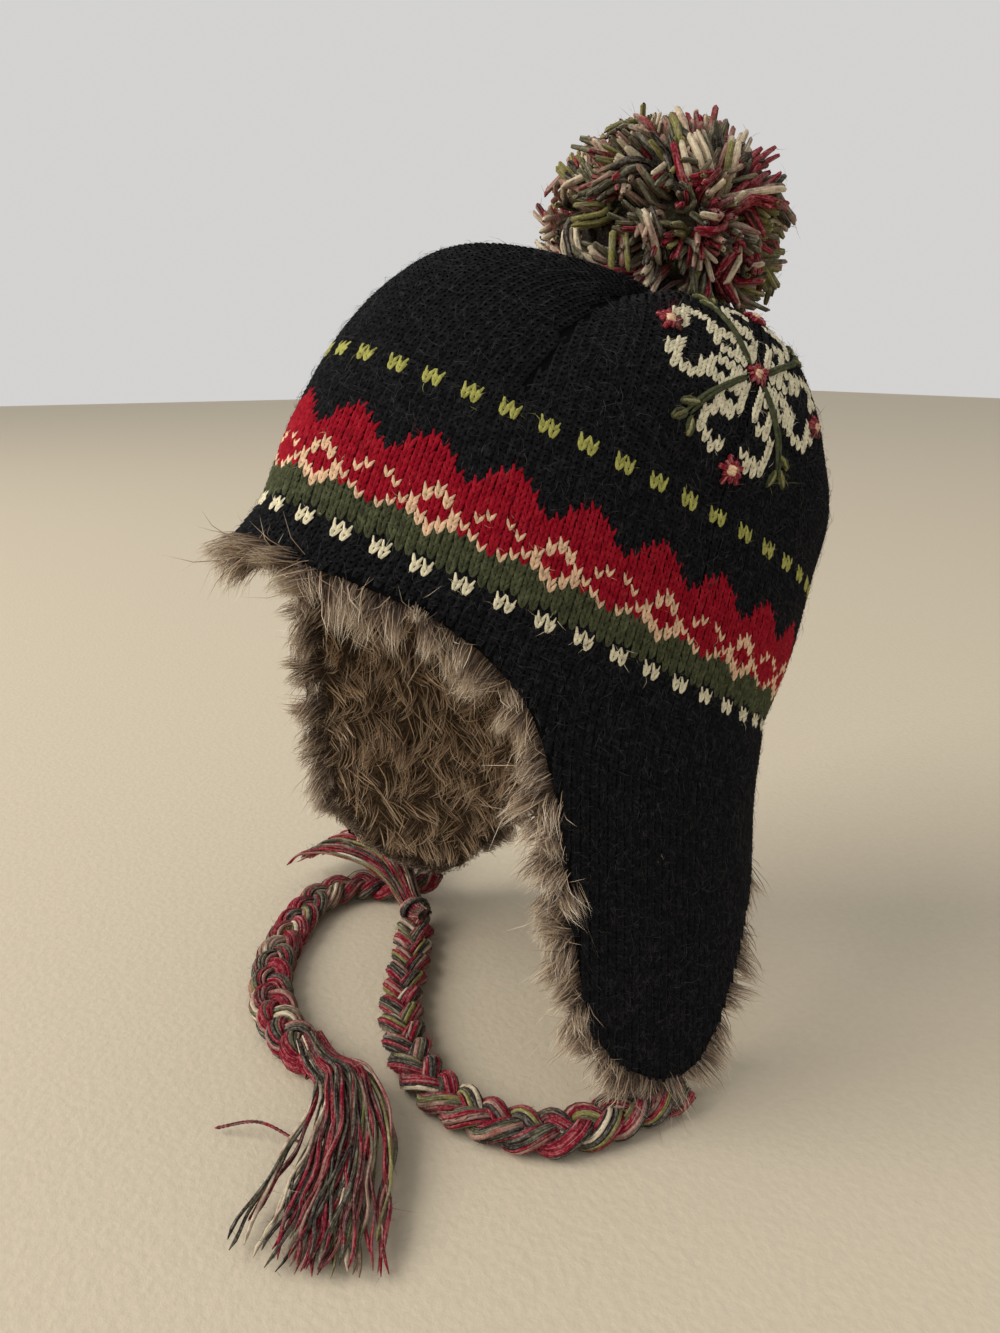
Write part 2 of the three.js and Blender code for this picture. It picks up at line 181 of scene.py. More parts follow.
class BeanieStage(bpy.types.PropertyGroup):
    """Floor, light and view."""
    level: bpy.props.FloatProperty(
        name="Floor level", description="Height of the floor", unit="LENGTH",
        default=round(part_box("left_braid")[0].z - 0.0005, 4))
    floor: colour_setting("Floor", "Colour of the floor", "#c4b8a2")
    sky: colour_setting("Surround", "Colour of the surround", "#e2e1e0")
    key: bpy.props.FloatProperty(
        name="Window light", description="Power of the large soft light", unit="POWER",
        default=135.0)


def unit(a):
    """Vectors along the last axis brought to length one."""
    return a / np.maximum(np.linalg.norm(a, axis=-1, keepdims=True), 1e-9)


def smooth(x):
    """Smooth step from nought to one."""
    x = np.clip(x, 0, 1)
    return x * x * (3 - 2 * x)


def sign_pow(x, p):
    """Signed power of a number."""
    return np.sign(x) * np.abs(x) ** p


def off_front(deg):
    """Angle from the front toward either side."""
    return np.abs((deg + 180) % 360 - 180)


def walk_along(line):
    """Distance from the first point of a line to each of its points."""
    return np.concatenate([[0], np.cumsum(np.linalg.norm(np.diff(line, axis=0), axis=1))])


def read_table(at, places, table):
    """Every column of a table, read at any places along it."""
    return np.stack([np.interp(at, places, column) for column in np.transpose(table)], -1)


def edge_fall(deg):
    """Fall of the lower edge at an angle."""
    off = off_front(deg)
    left = deg % 360 <= 180
    return np.where(left, np.interp(off, EDGE[:, 0], EDGE[:, 2]),
                    np.interp(off, EDGE[:, 1], EDGE[:, 2]))


def crown_point(deg, row):
    """Outer face above the band, by angle and fractional table row."""
    deg, row = np.broadcast_arrays(np.asarray(deg, float), np.asarray(row, float))
    last = len(CROWN) - 1
    i = np.clip(np.floor(row).astype(int), 0, last - 1)
    f = (row - i)[..., None]
    before, here = CROWN[np.clip(i - 1, 0, last)], CROWN[i]
    after, beyond = CROWN[np.clip(i + 1, 0, last)], CROWN[np.clip(i + 2, 0, last)]
    q = ((2 * f**3 - 3 * f**2 + 1) * here + (f**3 - 2 * f**2 + f) * (after - before) / 2
         + (3 * f**2 - 2 * f**3) * after + (f**3 - f**2) * (beyond - here) / 2)
    up, front, back, half, shift, power, dart, brow, rear, lift = np.moveaxis(q, -1, 0)
    s, c = np.sin(np.radians(deg)), np.cos(np.radians(deg))
    off = off_front(deg)
    from_back = 180 - off
    pinch = 1 - dart * np.exp(-np.abs(off % 90 - 45) / DART_WIDTH)
    reach = np.where(c > 0, front + brow * np.exp(-(off / 32)**2),
                     back + rear * np.exp(-(from_back / 60)**2))
    x = half * sign_pow(s, 2 / power) * pinch
    x = x + np.where(c < 0, rear * 0.35 * np.exp(-((from_back - 50) / 35)**2) * np.sign(s), 0)
    y = shift - reach * sign_pow(c, 2 / power) * pinch
    w = up + lift * (1 - np.maximum(c, 0))
    return np.stack([x, y * math.cos(TILT) + w * math.sin(TILT),
                     w * math.cos(TILT) - y * math.sin(TILT)], -1)


def fall_point(deg, fall):
    """Outer face below the band, by angle and fall along the cloth."""
    deg, fall = np.broadcast_arrays(np.asarray(deg, float), np.asarray(fall, float))
    s, c = np.sin(np.radians(deg)), np.cos(np.radians(deg))
    brow = np.maximum(c, 0)**3
    p = crown_point(deg, 0 * deg)
    steps = 24
    for j in range(steps):
        turn = TILT * (1 - smooth(fall * (j + 0.5) / steps / HANG) * (1 - brow))
        p = p + np.stack([0 * fall, -np.sin(turn), -np.cos(turn)], -1) * (fall / steps)[..., None]
    rear = np.clip(0.25 - c, 0, 1) * (1 - np.exp(-fall / 20)) * NAPE_BULGE
    return p + np.stack([FLARE * fall * s * np.abs(s) + rear * s,
                         -BROW_FLARE * fall * brow - rear * c, 0 * fall], -1)


def rise_table():
    """Height along the cloth above the band for each fractional row."""
    rows = np.linspace(0, len(CROWN) - 1, 1201)
    total = 0
    for deg in range(0, 360, 45):
        total = total + walk_along(crown_point(deg, rows))
    return total / 8, rows


RISE, RISE_ROWS = rise_table()


def cloth(deg, rise, depth=0.0):
    """Point at a depth under the face; rise is along the cloth from the band."""
    deg, rise = np.broadcast_arrays(np.asarray(deg, float), np.asarray(rise, float))
    above = crown_point(deg, np.interp(np.maximum(rise, 0), RISE, RISE_ROWS))
    p = np.where((rise >= 0)[..., None], above, fall_point(deg, np.maximum(-rise, 0)))
    if np.any(depth):
        p = p - cloth_axes(deg, rise)[2] * np.broadcast_to(depth, deg.shape)[..., None]
    return p


def cloth_axes(deg, rise):
    """Directions on the face: round the head, up the cloth and outward."""
    round_ = cloth(deg + 0.7, rise) - cloth(deg - 0.7, rise)
    up = cloth(deg, rise + 1.0) - cloth(deg, rise - 1.0)
    axis = np.array([0, math.sin(TILT), math.cos(TILT)])
    out = unit(np.cross(round_, up))
    top = smooth((np.asarray(rise) - RISE[-1] * 0.93) / 8)[..., None]
    out = unit(out * (1 - top) + axis * top)
    return unit(round_), unit(up), out


def centred_arc(centre, deg, rise):
    """Distance round the cloth at one rise, from a centre angle."""
    arc = walk_along(cloth(deg, rise))
    return arc - np.interp(centre, deg, arc)


def spline(points, count):
    """Even points on the same kind of curve that the solids follow."""
    p = np.asarray(points, float)
    p = np.vstack([2 * p[0] - p[1], p, 2 * p[-1] - p[-2]])
    dense = []
    for a, b, c, d in zip(p[:-3], p[1:-2], p[2:-1], p[3:]):
        t = [np.linalg.norm(v[:3] - u[:3])**0.5 for u, v in ((a, b), (b, c), (c, d))]
        m1 = ((b - a) / t[0] - (c - a) / (t[0] + t[1]) + (c - b) / t[1]) * t[1]
        m2 = ((c - b) / t[1] - (d - b) / (t[1] + t[2]) + (d - c) / t[2]) * t[1]
        for f in np.linspace(0, 1, 40, endpoint=False):
            dense.append((2 * f**3 - 3 * f**2 + 1) * b + (f**3 - 2 * f**2 + f) * m1
                         + (3 * f**2 - 2 * f**3) * c + (f**3 - f**2) * m2)
    dense = np.array(dense + [p[-2]])
    walk = walk_along(dense[:, :3])
    return read_table(np.linspace(0, walk[-1], count), walk, dense), walk[-1]


class Heap:
    """Vertices and faces gathered for one mesh, in millimetres."""

    def __init__(self):
        self.points, self.quads, self.tris = [], [], []
        self.quad_mats, self.tri_mats, self.uvs = [], [], []
        self.count = 0

    def put(self, points, quads, mat=0, uv=None):
        """Adds points, the quads between them and the quads' finishes."""
        points = np.asarray(points, float).reshape(-1, 3)
        self.points.append(points)
        self.uvs.append(np.zeros((len(points), 2)) if uv is None else np.asarray(uv).reshape(-1, 2))
        self.quads.append(quads + self.count)
        self.quad_mats.append(np.broadcast_to(mat, len(quads)))
        self.count += len(points)

    def put_cloth(self, deg, rise, outer, inner, mats=0):
        """Adds closed cloth between two depths; mats are the outer layer's finishes."""
        rows, cols = deg.shape
        faces = grid_faces(rows, cols, wrap=True)
        self.put(cloth(deg, rise, outer), faces, mats)
        self.put(cloth(deg, rise, inner), faces[:, ::-1])
        rim = np.arange(cols)
        after = (rim + 1) % cols
        size = rows * cols
        self.quads.append(np.stack([after, rim, rim + size, after + size], -1))
        self.quad_mats.append(np.zeros(cols, int))

    def build(self, name, materials, node, slot):
        """Makes the object, gives it its finish and lets it ride on the hat."""
        quads = np.vstack(self.quads)
        tris = np.vstack(self.tris) if self.tris else np.zeros((0, 3), int)
        loops = np.concatenate([quads.ravel(), tris.ravel()]).astype(np.int32)
        starts = np.concatenate([np.arange(len(quads)) * 4,
                                 len(quads) * 4 + np.arange(len(tris)) * 3]).astype(np.int32)
        mats = np.concatenate([*self.quad_mats, *self.tri_mats]).astype(np.int32)
        me = bpy.data.meshes.new(name)
        me.vertices.add(self.count)
        me.vertices.foreach_set("co", (np.vstack(self.points) / 1000).astype(np.float32).ravel())
        me.loops.add(len(loops))
        me.loops.foreach_set("vertex_index", loops)
        me.polygons.add(len(starts))
        me.polygons.foreach_set("loop_start", starts)
        for m in materials:
            me.materials.append(m)
        me.polygons.foreach_set("material_index", mats)
        me.update(calc_edges=True)
        layer = me.uv_layers.new(name="UVMap")
        layer.data.foreach_set("uv", np.vstack(self.uvs)[loops].astype(np.float32).ravel())
        me.shade_smooth()
        me.validate()
        obj = bpy.data.objects.new(name, me)
        bpy.context.scene.collection.objects.link(obj)
        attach(obj, "root")
        if node:
            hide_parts(node)
        return obj


def grid_faces(rows, cols, wrap=False):
    """Faces of a grid of points, rows by cols."""
    j, i = np.meshgrid(np.arange(rows - 1), np.arange(cols if wrap else cols - 1), indexing="ij")
    a, b = j * cols + i, j * cols + (i + 1) % cols
    return np.stack([a, b, b + cols, a + cols], -1).reshape(-1, 4)


def cloth_grid(below, above):
    """Angles and rises of a grid over the whole cloth.

    Below and above are shares of the way from the band to the edge and to the crown's tip.
    """
    deg, share = np.meshgrid(np.linspace(-180, 180, 121)[:-1], np.concatenate([-below, above]))
    return deg, np.where(share < 0, share * edge_fall(deg), share * RISE[-1])


def many(faces, count, step):
    """The same faces repeated for each copy of a set of points."""
    return (faces[None] + (np.arange(count) * step)[:, None, None]).reshape(-1, faces.shape[1])


def strands(heap, paths, radius, sides, pitch, ply, mats, rng):
    """Twisted yarn along each path; the ply shows as an oval that turns once a pitch."""
    n, m = paths.shape[:2]
    radius = np.broadcast_to(radius, (n, m))
    t = unit(np.gradient(paths, axis=1))
    step = np.linalg.norm(np.diff(paths, axis=1), axis=2)
    walk = np.concatenate([np.zeros((n, 1)), np.cumsum(step, axis=1)], 1)
    hint = np.where(np.abs(t[:, :1, 2:]) > 0.8, [1.0, 0.2, 0.0], [0.0, 0.1, 1.0])[:, 0]
    side = np.zeros_like(paths)
    s = np.cross(t[:, 0], hint)
    for k in range(m):
        s = unit(s - t[:, k] * np.sum(s * t[:, k], -1, keepdims=True))
        side[:, k] = s
    up = np.cross(side, t)
    start = rng.uniform(0, 6.28, n)[:, None, None]
    a = 2 * math.pi * np.arange(sides) / sides
    turn = start + 2 * math.pi * walk[..., None] / pitch
    r = radius[..., None] * (1 + ply * np.cos(2 * (a - turn)))
    pts = (paths[:, :, None] + side[:, :, None] * (r * np.cos(a))[..., None]
           + up[:, :, None] * (r * np.sin(a))[..., None])
    # U goes once round a strand, and V is 10 mm of it.
    uv = np.stack(np.broadcast_arrays(a / (2 * math.pi) + start, walk[..., None] / 10), -1)
    faces = many(grid_faces(m, sides, wrap=True), n, m * sides)
    heap.put(pts, quads=faces, mat=np.repeat(np.broadcast_to(mats, n), (m - 1) * sides), uv=uv)


def down(heap, paths, each, radius, rng, mats):
    """Fine fibres that stand off strands of yarn, so many for each strand."""
    n, m = paths.shape[:2]
    which = np.repeat(np.arange(n), each)
    at = rng.uniform(0, m - 1.001, len(which))
    k, f = at.astype(int), (at % 1)[:, None]
    root = paths[which, k] * (1 - f) + paths[which, k + 1] * f
    along = unit(paths[which, k + 1] - paths[which, k])
    off = unit(np.cross(along, rng.normal(0, 1, along.shape)))
    lean = along * rng.uniform(-1.2, 1.2, (len(which), 1))
    long = rng.gamma(2.5, 0.8, (len(which), 1)) + 0.6
    t = np.linspace(0, 1, 4)[None, :, None]
    bend = rng.normal(0, 0.35, along.shape)
    paths = (root + off * radius * 0.8)[:, None] + long[:, None] * (
        (off * 0.7 + lean * 0.6)[:, None] * t + bend[:, None] * t**2)
    paths = keep_above(paths, bpy.context.scene.beanie_stage.level * 1000)
    hairs(heap, paths, 0.11, rng, np.broadcast_to(mats, n)[which])


def hairs(heap, paths, wide, rng, mats=0):
    """Flat tapered hairs; U is one chance value for each, and V goes from root to tip."""
    n, m = paths.shape[:2]
    t = unit(np.gradient(paths, axis=1))
    side = unit(np.cross(t, unit(rng.normal(size=(n, 1, 3)))))
    shape = np.sqrt(np.clip(1 - (np.arange(m - 1) / (m - 1))**2.2, 0, 1)) * 0.5
    off = side[:, :-1] * (shape * np.ones((n, 1)) * np.reshape(wide, (-1, 1)))[..., None]
    body = np.stack([paths[:, :-1] - off, paths[:, :-1] + off], 2).reshape(n, -1, 3)
    pts = np.concatenate([body, paths[:, -1:]], 1)
    step = 2 * m - 1
    k = 2 * np.arange(m - 2)
    quads = np.stack([k, k + 1, k + 3, k + 2], -1)
    tip = np.array([[2 * m - 4, 2 * m - 3, 2 * m - 2]])
    along = np.append(np.repeat(np.arange(m - 1) / (m - 1), 2), 1.0)
    uv = np.stack(np.broadcast_arrays(rng.uniform(0, 1, (n, 1)), along), -1)
    mats = np.broadcast_to(mats, n)
    heap.put(pts, quads=many(quads, n, step), mat=np.repeat(mats, m - 2), uv=uv)
    heap.tris.append(many(tip, n, step) + heap.count - n * step)
    heap.tri_mats.append(mats)


def add_node(tree, kind, links=(), inputs=(), stops=(), **settings):
    """Adds a shader node.

    Links and inputs go by socket name or number; stops are a ramp's places and colours.
    """
    n = tree.nodes.new(kind)
    for key, value in settings.items():
        setattr(n, key, value)
    for key, value in dict(inputs).items():
        n.inputs[key].default_value = value
    for key, (source, out) in dict(links).items():
        tree.links.new(source.outputs[out], n.inputs[key])
    for k, (at, colour) in enumerate(stops):
        if k > 1:
            n.color_ramp.elements.new(1.0)
        n.color_ramp.elements[k].position = at
        n.color_ramp.elements[k].color = colour
    return n


def fresh(name):
    """A new material with an empty node tree."""
    mat = bpy.data.materials.new(name)
    mat.use_nodes = True
    mat.node_tree.nodes.clear()
    return mat, mat.node_tree


def shade(colour, k):
    """A colour made darker or paler by a factor."""
    return (*(min(c * k, 1.0) for c in colour[:3]), 1.0)


def blend(a, b, k):
    """A colour between two others."""
    return (*(x * (1 - k) + y * k for x, y in zip(a[:3], b[:3])), 1.0)


# Ends of a ramp that only says how much of a second colour shows.
NONE = (0.0, 0.0, 0.0, 1.0)
ALL = (1.0, 1.0, 1.0, 1.0)


def brushed_wool(name, colour, halo, glow=0.04):
    """Carded wool yarn, knitted and lightly brushed.

    The eye gets a matt thread with paler fibres on it, their paleness a painted highlight where
    they catch the light, and a soft edge.
    """
    mat, tree = fresh(name)
    where = add_node(tree, "ShaderNodeTexCoord")
    # Heather in the dyed fleece: patches about 2.5 mm long.
    heather = add_node(tree, "ShaderNodeTexNoise", {"Vector": (where, "Object")},
                       {"Scale": 400.0, "Detail": 4.0, "Roughness": 0.7})
    tone = add_node(tree, "ShaderNodeValToRGB", {"Fac": (heather, "Fac")}, stops=[
        (0.32, shade(colour, 0.55)), (0.5, colour), (0.68, blend(shade(colour, 1.25), halo, glow))])
    # Single fibres, 0.02 mm in the real wool, are drawn 0.3 mm thick to show.
    fibre = add_node(tree, "ShaderNodeTexNoise", {"Vector": (where, "Object")},
                     {"Scale": 3200.0, "Detail": 3.0, "Roughness": 0.75, "Distortion": 0.8})
    # Flecks on the raised fibres of the bump, paled toward the halo: painted highlight.
    caught = add_node(tree, "ShaderNodeValToRGB", {"Fac": (fibre, "Fac")},
                      stops=[(0.56, NONE), (0.74, ALL)])
    both = add_node(tree, "ShaderNodeMix", {0: (caught, "Color"), 6: (tone, "Color")},
                    {7: blend(shade(colour, 1.15), halo, glow * 3)}, data_type="RGBA")
    bump = add_node(tree, "ShaderNodeBump", {"Height": (fibre, "Fac")},
                    {"Strength": 0.55, "Distance": 0.0004})
    skin = add_node(tree, "ShaderNodeBsdfPrincipled", {
        "Base Color": (both, 2), "Normal": (bump, "Normal")}, {
        "Roughness": 0.95, "Specular IOR Level": 0.08, "Sheen Weight": 0.09,
        "Sheen Roughness": 0.4, "Sheen Tint": blend(colour, halo, 0.5)})
    add_node(tree, "ShaderNodeOutputMaterial", {0: (skin, 0)})
    return mat


def plied_yarn(name, colour, second, halo):
    """Soft marled wool and acrylic yarn: two loosely twisted plies of unlike dye.

    The eye gets thin lines of two dyes that turn round each strand, with painted shade in their
    grooves and painted highlight on their ridges.
    """
    mat, tree = fresh(name)
    where = add_node(tree, "ShaderNodeTexCoord")
    # Streaks 0.5 to 0.9 mm wide and 11 mm long that lean a little round the strand.
    spun = add_node(tree, "ShaderNodeMapping", {"Vector": (where, "UV")},
                    {"Scale": (9.0, 0.9, 1.0), "Rotation": (0, 0, 0.12)})
    lines = add_node(tree, "ShaderNodeTexNoise", {"Vector": (spun, 0)},
                     {"Scale": 1.0, "Detail": 3.0, "Roughness": 0.6, "Distortion": 0.3})
    # The dye changes every 15 mm or so along the yarn.
    marl = add_node(tree, "ShaderNodeTexNoise", {"Vector": (where, "Object")},
                    {"Scale": 70.0, "Detail": 3.0, "Roughness": 0.6})
    share = add_node(tree, "ShaderNodeValToRGB", {"Fac": (marl, "Fac")},
                     stops=[(0.5, NONE), (0.6, (0.7, 0.7, 0.7, 1.0))])
    # Clumps in the fleece, about 1 mm across.
    fleece = add_node(tree, "ShaderNodeTexNoise", {"Vector": (where, "Object")},
                      {"Scale": 900.0, "Detail": 4.0, "Roughness": 0.7})
    part = add_node(tree, "ShaderNodeMath", {0: (lines, "Fac")}, {1: 1.4}, operation="MULTIPLY")
    total = add_node(tree, "ShaderNodeMath", {0: (part, 0), 1: (fleece, "Fac")}, operation="ADD")
    depth = add_node(tree, "ShaderNodeMath", {0: (total, 0)}, {1: 0.42}, operation="MULTIPLY")
    # Each dye darkens where the bump is low and pales toward the halo where it is high: painted
    # shade and painted highlight on the streaks.
    lit_and_shaded_tones = [add_node(tree, "ShaderNodeValToRGB", {"Fac": (depth, 0)}, stops=[
        (0.36, shade(c, 0.3)), (0.49, c), (0.66, blend(shade(c, 1.3), halo, 0.25))])
        for c in (colour, second)]
    both = add_node(tree, "ShaderNodeMix", {
        0: (share, "Color"), 6: (lit_and_shaded_tones[0], "Color"), 7: (lit_and_shaded_tones[1], "Color")}, data_type="RGBA")
    bump = add_node(tree, "ShaderNodeBump", {"Height": (depth, 0)},
                    {"Strength": 0.7, "Distance": 0.0006})
    skin = add_node(tree, "ShaderNodeBsdfPrincipled", {
        "Base Color": (both, 2), "Normal": (bump, "Normal")}, {
        "Roughness": 0.95, "Specular IOR Level": 0.08, "Sheen Weight": 0.1,
        "Sheen Roughness": 0.5, "Sheen Tint": blend(colour, halo, 0.4)})
    add_node(tree, "ShaderNodeOutputMaterial", {0: (skin, 0)})
    return mat


def modacrylic_pile(name, root, middle, tip, plum):
    """Modacrylic fur cloth: dark roots, taupe hair and pale tips.

    The eye gets streaks of grey, beige and plum with a slight gleam.
    """
    mat, tree = fresh(name)
    where = add_node(tree, "ShaderNodeTexCoord")
    # V of a hair goes from root to tip, and its U picks how dark it is.
    axes = add_node(tree, "ShaderNodeSeparateXYZ", {"Vector": (where, "UV")})
    taupe = add_node(tree, "ShaderNodeValToRGB", {"Fac": (axes, "Y")}, stops=[
        (0.0, root), (0.3, shade(middle, 0.8)), (0.62, middle), (0.92, tip)])
    dark = add_node(tree, "ShaderNodeValToRGB", {"Fac": (axes, "Y")}, stops=[
        (0.0, shade(root, 0.7)), (0.45, plum), (0.9, shade(middle, 0.9))])
    pick = add_node(tree, "ShaderNodeValToRGB", {"Fac": (axes, "X")},
                    stops=[(0.35, NONE), (0.6, ALL)])
    both = add_node(tree, "ShaderNodeMix", {
        0: (pick, "Color"), 6: (taupe, "Color"), 7: (dark, "Color")}, data_type="RGBA")
    skin = add_node(tree, "ShaderNodeBsdfPrincipled", {"Base Color": (both, 2)}, {
        "Roughness": 0.5, "Specular IOR Level": 0.35, "Sheen Weight": 0.1,
        "Sheen Roughness": 0.5})
    add_node(tree, "ShaderNodeOutputMaterial", {0: (skin, 0)})
    return mat


def pile_backing(name, root, middle):
    """Woven cloth that the pile is rooted in, seen only between tufts.

    The eye gets dark brown cloth with short lighter roots; the cloth is painted darker than the
    roots as shade deep between the tufts.
    """
    mat, tree = fresh(name)
    where = add_node(tree, "ShaderNodeTexCoord")
    # Roots stand about 1.7 mm apart.
    roots = add_node(tree, "ShaderNodeTexNoise", {"Vector": (where, "Object")},
                     {"Scale": 600.0, "Detail": 4.0, "Roughness": 0.75})
    # Lower in the bump between the roots and darker there: painted shade.
    tone = add_node(tree, "ShaderNodeValToRGB", {"Fac": (roots, "Fac")}, stops=[
        (0.35, shade(root, 0.6)), (0.7, blend(root, middle, 0.5))])
    bump = add_node(tree, "ShaderNodeBump", {"Height": (roots, "Fac")},
                    {"Strength": 0.8, "Distance": 0.002})
    skin = add_node(tree, "ShaderNodeBsdfPrincipled", {
        "Base Color": (tone, "Color"), "Normal": (bump, "Normal")},
        {"Roughness": 0.95, "Specular IOR Level": 0.1})
    add_node(tree, "ShaderNodeOutputMaterial", {0: (skin, 0)})
    return mat


GREY = linear("#8d8a88")    # dust-grey of fibres that catch the light
WOOL = ["ground", "zigzag", "hill", "dash", "ecru", "diamond"]
YARN = ["crimson", "sage", "moss", "ecru", "beige", "charcoal"]


def wool_finishes():
    """Knitted wools in the order of the chart's numbers."""
    s = bpy.context.scene.beanie_knit
    # Halo: the colour of the painted highlight on the fibre flecks, grey for the ground; for the
    # hills it is also the paler olive of their mottle.
    halo = {"ground": GREY, "hill": linear("#9a9a70")}
    glow = {"hill": 0.16, "zigzag": 0.015}
    return [bpy.data.materials.get("wool_" + k) or brushed_wool(
        "wool_" + k, getattr(s, k), halo.get(k, linear("#f0e6d8")),
        glow.get(k, 0.04)) for k in WOOL]


def yarn_finishes():
    """Plied yarns of the pompom, braids and tassels."""
    s = bpy.context.scene.beanie_yarn
    partner = {"crimson": s.charcoal, "sage": s.beige, "moss": s.sage, "ecru": s.beige,
               "beige": s.crimson, "charcoal": s.sage}
    # The near-white halo is the colour of the painted highlight on each yarn's ridges.
    return [bpy.data.materials.get("yarn_" + k) or plied_yarn(
        "yarn_" + k, getattr(s, k), partner[k], linear("#efe8d8")) for k in YARN]


def pile_finishes():
    """Hair of the lining, the cloth that it is rooted in, and a paler copy of the hair for inside,
    painted light.
    """
    s = bpy.context.scene.beanie_lining
    plum = linear("#4b3a37")
    return [bpy.data.materials.get("pile_hair") or modacrylic_pile(
        "pile_hair", s.root, s.middle, s.tip, plum),
        bpy.data.materials.get("pile_cloth") or pile_backing("pile_cloth", s.root, s.middle),
        # The inner hair is this hair made paler: painted light against the shade inside the closed
        # hat.
        bpy.data.materials.get("pile_brushed") or modacrylic_pile(
            "pile_brushed", blend(s.root, s.middle, 0.6), shade(s.middle, 2.1),
            shade(s.tip, 1.25), blend(plum, s.middle, 0.6))]


def pick_yarns(rng, count, weights=(0.2, 0.25, 0.1, 0.15, 0.12, 0.18)):
    """Chance yarn colours in the shares that the real yarn has."""
    return rng.choice(len(YARN), size=count, p=weights)


def braid(name, route, seed):
    """Three strands of yarns, plaited along a route on the ground."""
    rng = np.random.default_rng(seed)
    path, length = spline(np.array(route) * 1000, 290)
    s = np.linspace(0, length, len(path))
    t = unit(np.gradient(path, axis=0))
    side = unit(np.cross(t, [0, 0, 1.0]))
    up = np.cross(side, t)
    heap, fluff = Heap(), Heap()
    # Millimetres: one plait, a strand's swing to the side and up, the ring that its
    # yarns stand on, one turn of its twist, and a yarn's radius.
    period, swing, hop, bundle, twist, thin = 38.0, 5.9, 2.3, 2.95, 62.0, 1.08
    count = 12
    ends = np.minimum(smooth(s / 12) * 0.45 + 0.55, smooth((length - s) / 14) * 0.4 + 0.6)
    for k in range(3):
        a = 2 * math.pi * (s / period + k / 3)
        wave = swing * np.sin(a) * ends
        lift = hop * np.sin(2 * a) * ends
        mid = path + side * wave[:, None] + up * lift[:, None]
        tm = unit(np.gradient(mid, axis=0))
        sm = unit(np.cross(tm, up))
        um = np.cross(sm, tm)
        turn = 2 * math.pi * (np.arange(count)[:, None] / count + s / twist)
        q = turn + rng.normal(0, 0.12, (count, 1))
        ring = bundle * (1 + 0.07 * np.sin(s / 5.0 + 7 * k) + rng.normal(0, 0.06, (count, 1)))
        paths = (mid + sm * (np.cos(q) * ring * 1.08)[..., None]
                 + um * (np.sin(q) * ring * 0.92)[..., None])
        mats = pick_yarns(rng, count, (0.38, 0.12, 0.06, 0.07, 0.13, 0.24))
        radius = thin * (0.8 + 0.4 * rng.random((count, 1)))
        strands(heap, paths[:, ::2], radius, 5, 9.0, 0.08, mats, rng)
        down(fluff, paths[:, ::2], 110, 1.1, rng, mats)
        # A dark core fills the strand between its yarns; its charcoal shows in the gaps between
        # them as painted shade.
        strands(heap, mid[None, ::3], 2.3, 5, 30.0, 0.0, YARN.index("charcoal"), rng)
    obj = heap.build(name, yarn_finishes(), name, "braid_yarn")
    return obj, fluff.build(name + "_down", yarn_finishes(), None, "braid_yarn"), path, length


def tassel_paths(line, count, neck, rng, steps=30):
    """Strands that fan out from the tie along the tassel's middle line."""
    floor = bpy.context.scene.beanie_stage.level * 1000
    mid, _ = spline(line, 90)
    f = np.linspace(0, 1, 90)
    t = np.linspace(0, 1, steps)
    end = rng.uniform(0.82, 1.0, (count, 1))
    at = t * end
    c = read_table(at, f, mid[:, :3])
    spread = np.interp(at, f, mid[:, 3])
    side = unit(np.cross(read_table(at, f, np.gradient(mid[:, :3], axis=0)), [0, 0, 1.0]))
    across = np.clip(rng.normal(0, 0.5, (count, 1)), -1, 1)
    high = rng.uniform(-0.5, 1, (count, 1)) * (1 - 0.55 * np.abs(across))
    fan = neck + (1 - neck) * smooth((at - 0.12) / 0.5)
    # A few strands lie slantwise over the rest.
    fan = fan * np.where(rng.random((count, 1)) < 0.08, 1 - 1.7 * smooth((at - 0.15) / 0.6), 1)
    wave = 3.2 * at * np.sin(at * rng.uniform(4, 9, (count, 1)) + rng.uniform(0, 6, (count, 1)))
    crimp = at * np.sin(at * rng.uniform(20, 34, (count, 1)) + rng.uniform(0, 6, (count, 1)))
    p = c + side * (across * spread * fan + wave + crimp)[..., None]
    p[..., 2] += high * np.interp(at, [0, 0.12, 0.4, 1], [3.0, 6.5, 8.0, 2.5])
    p[..., 2] += 1.2 * at * np.sin(at * 8 + rng.uniform(0, 6, (count, 1)))
    p[..., 2] = np.maximum(p[..., 2], floor + 0.9 + 0.8 * rng.random((count, 1)))
    return p


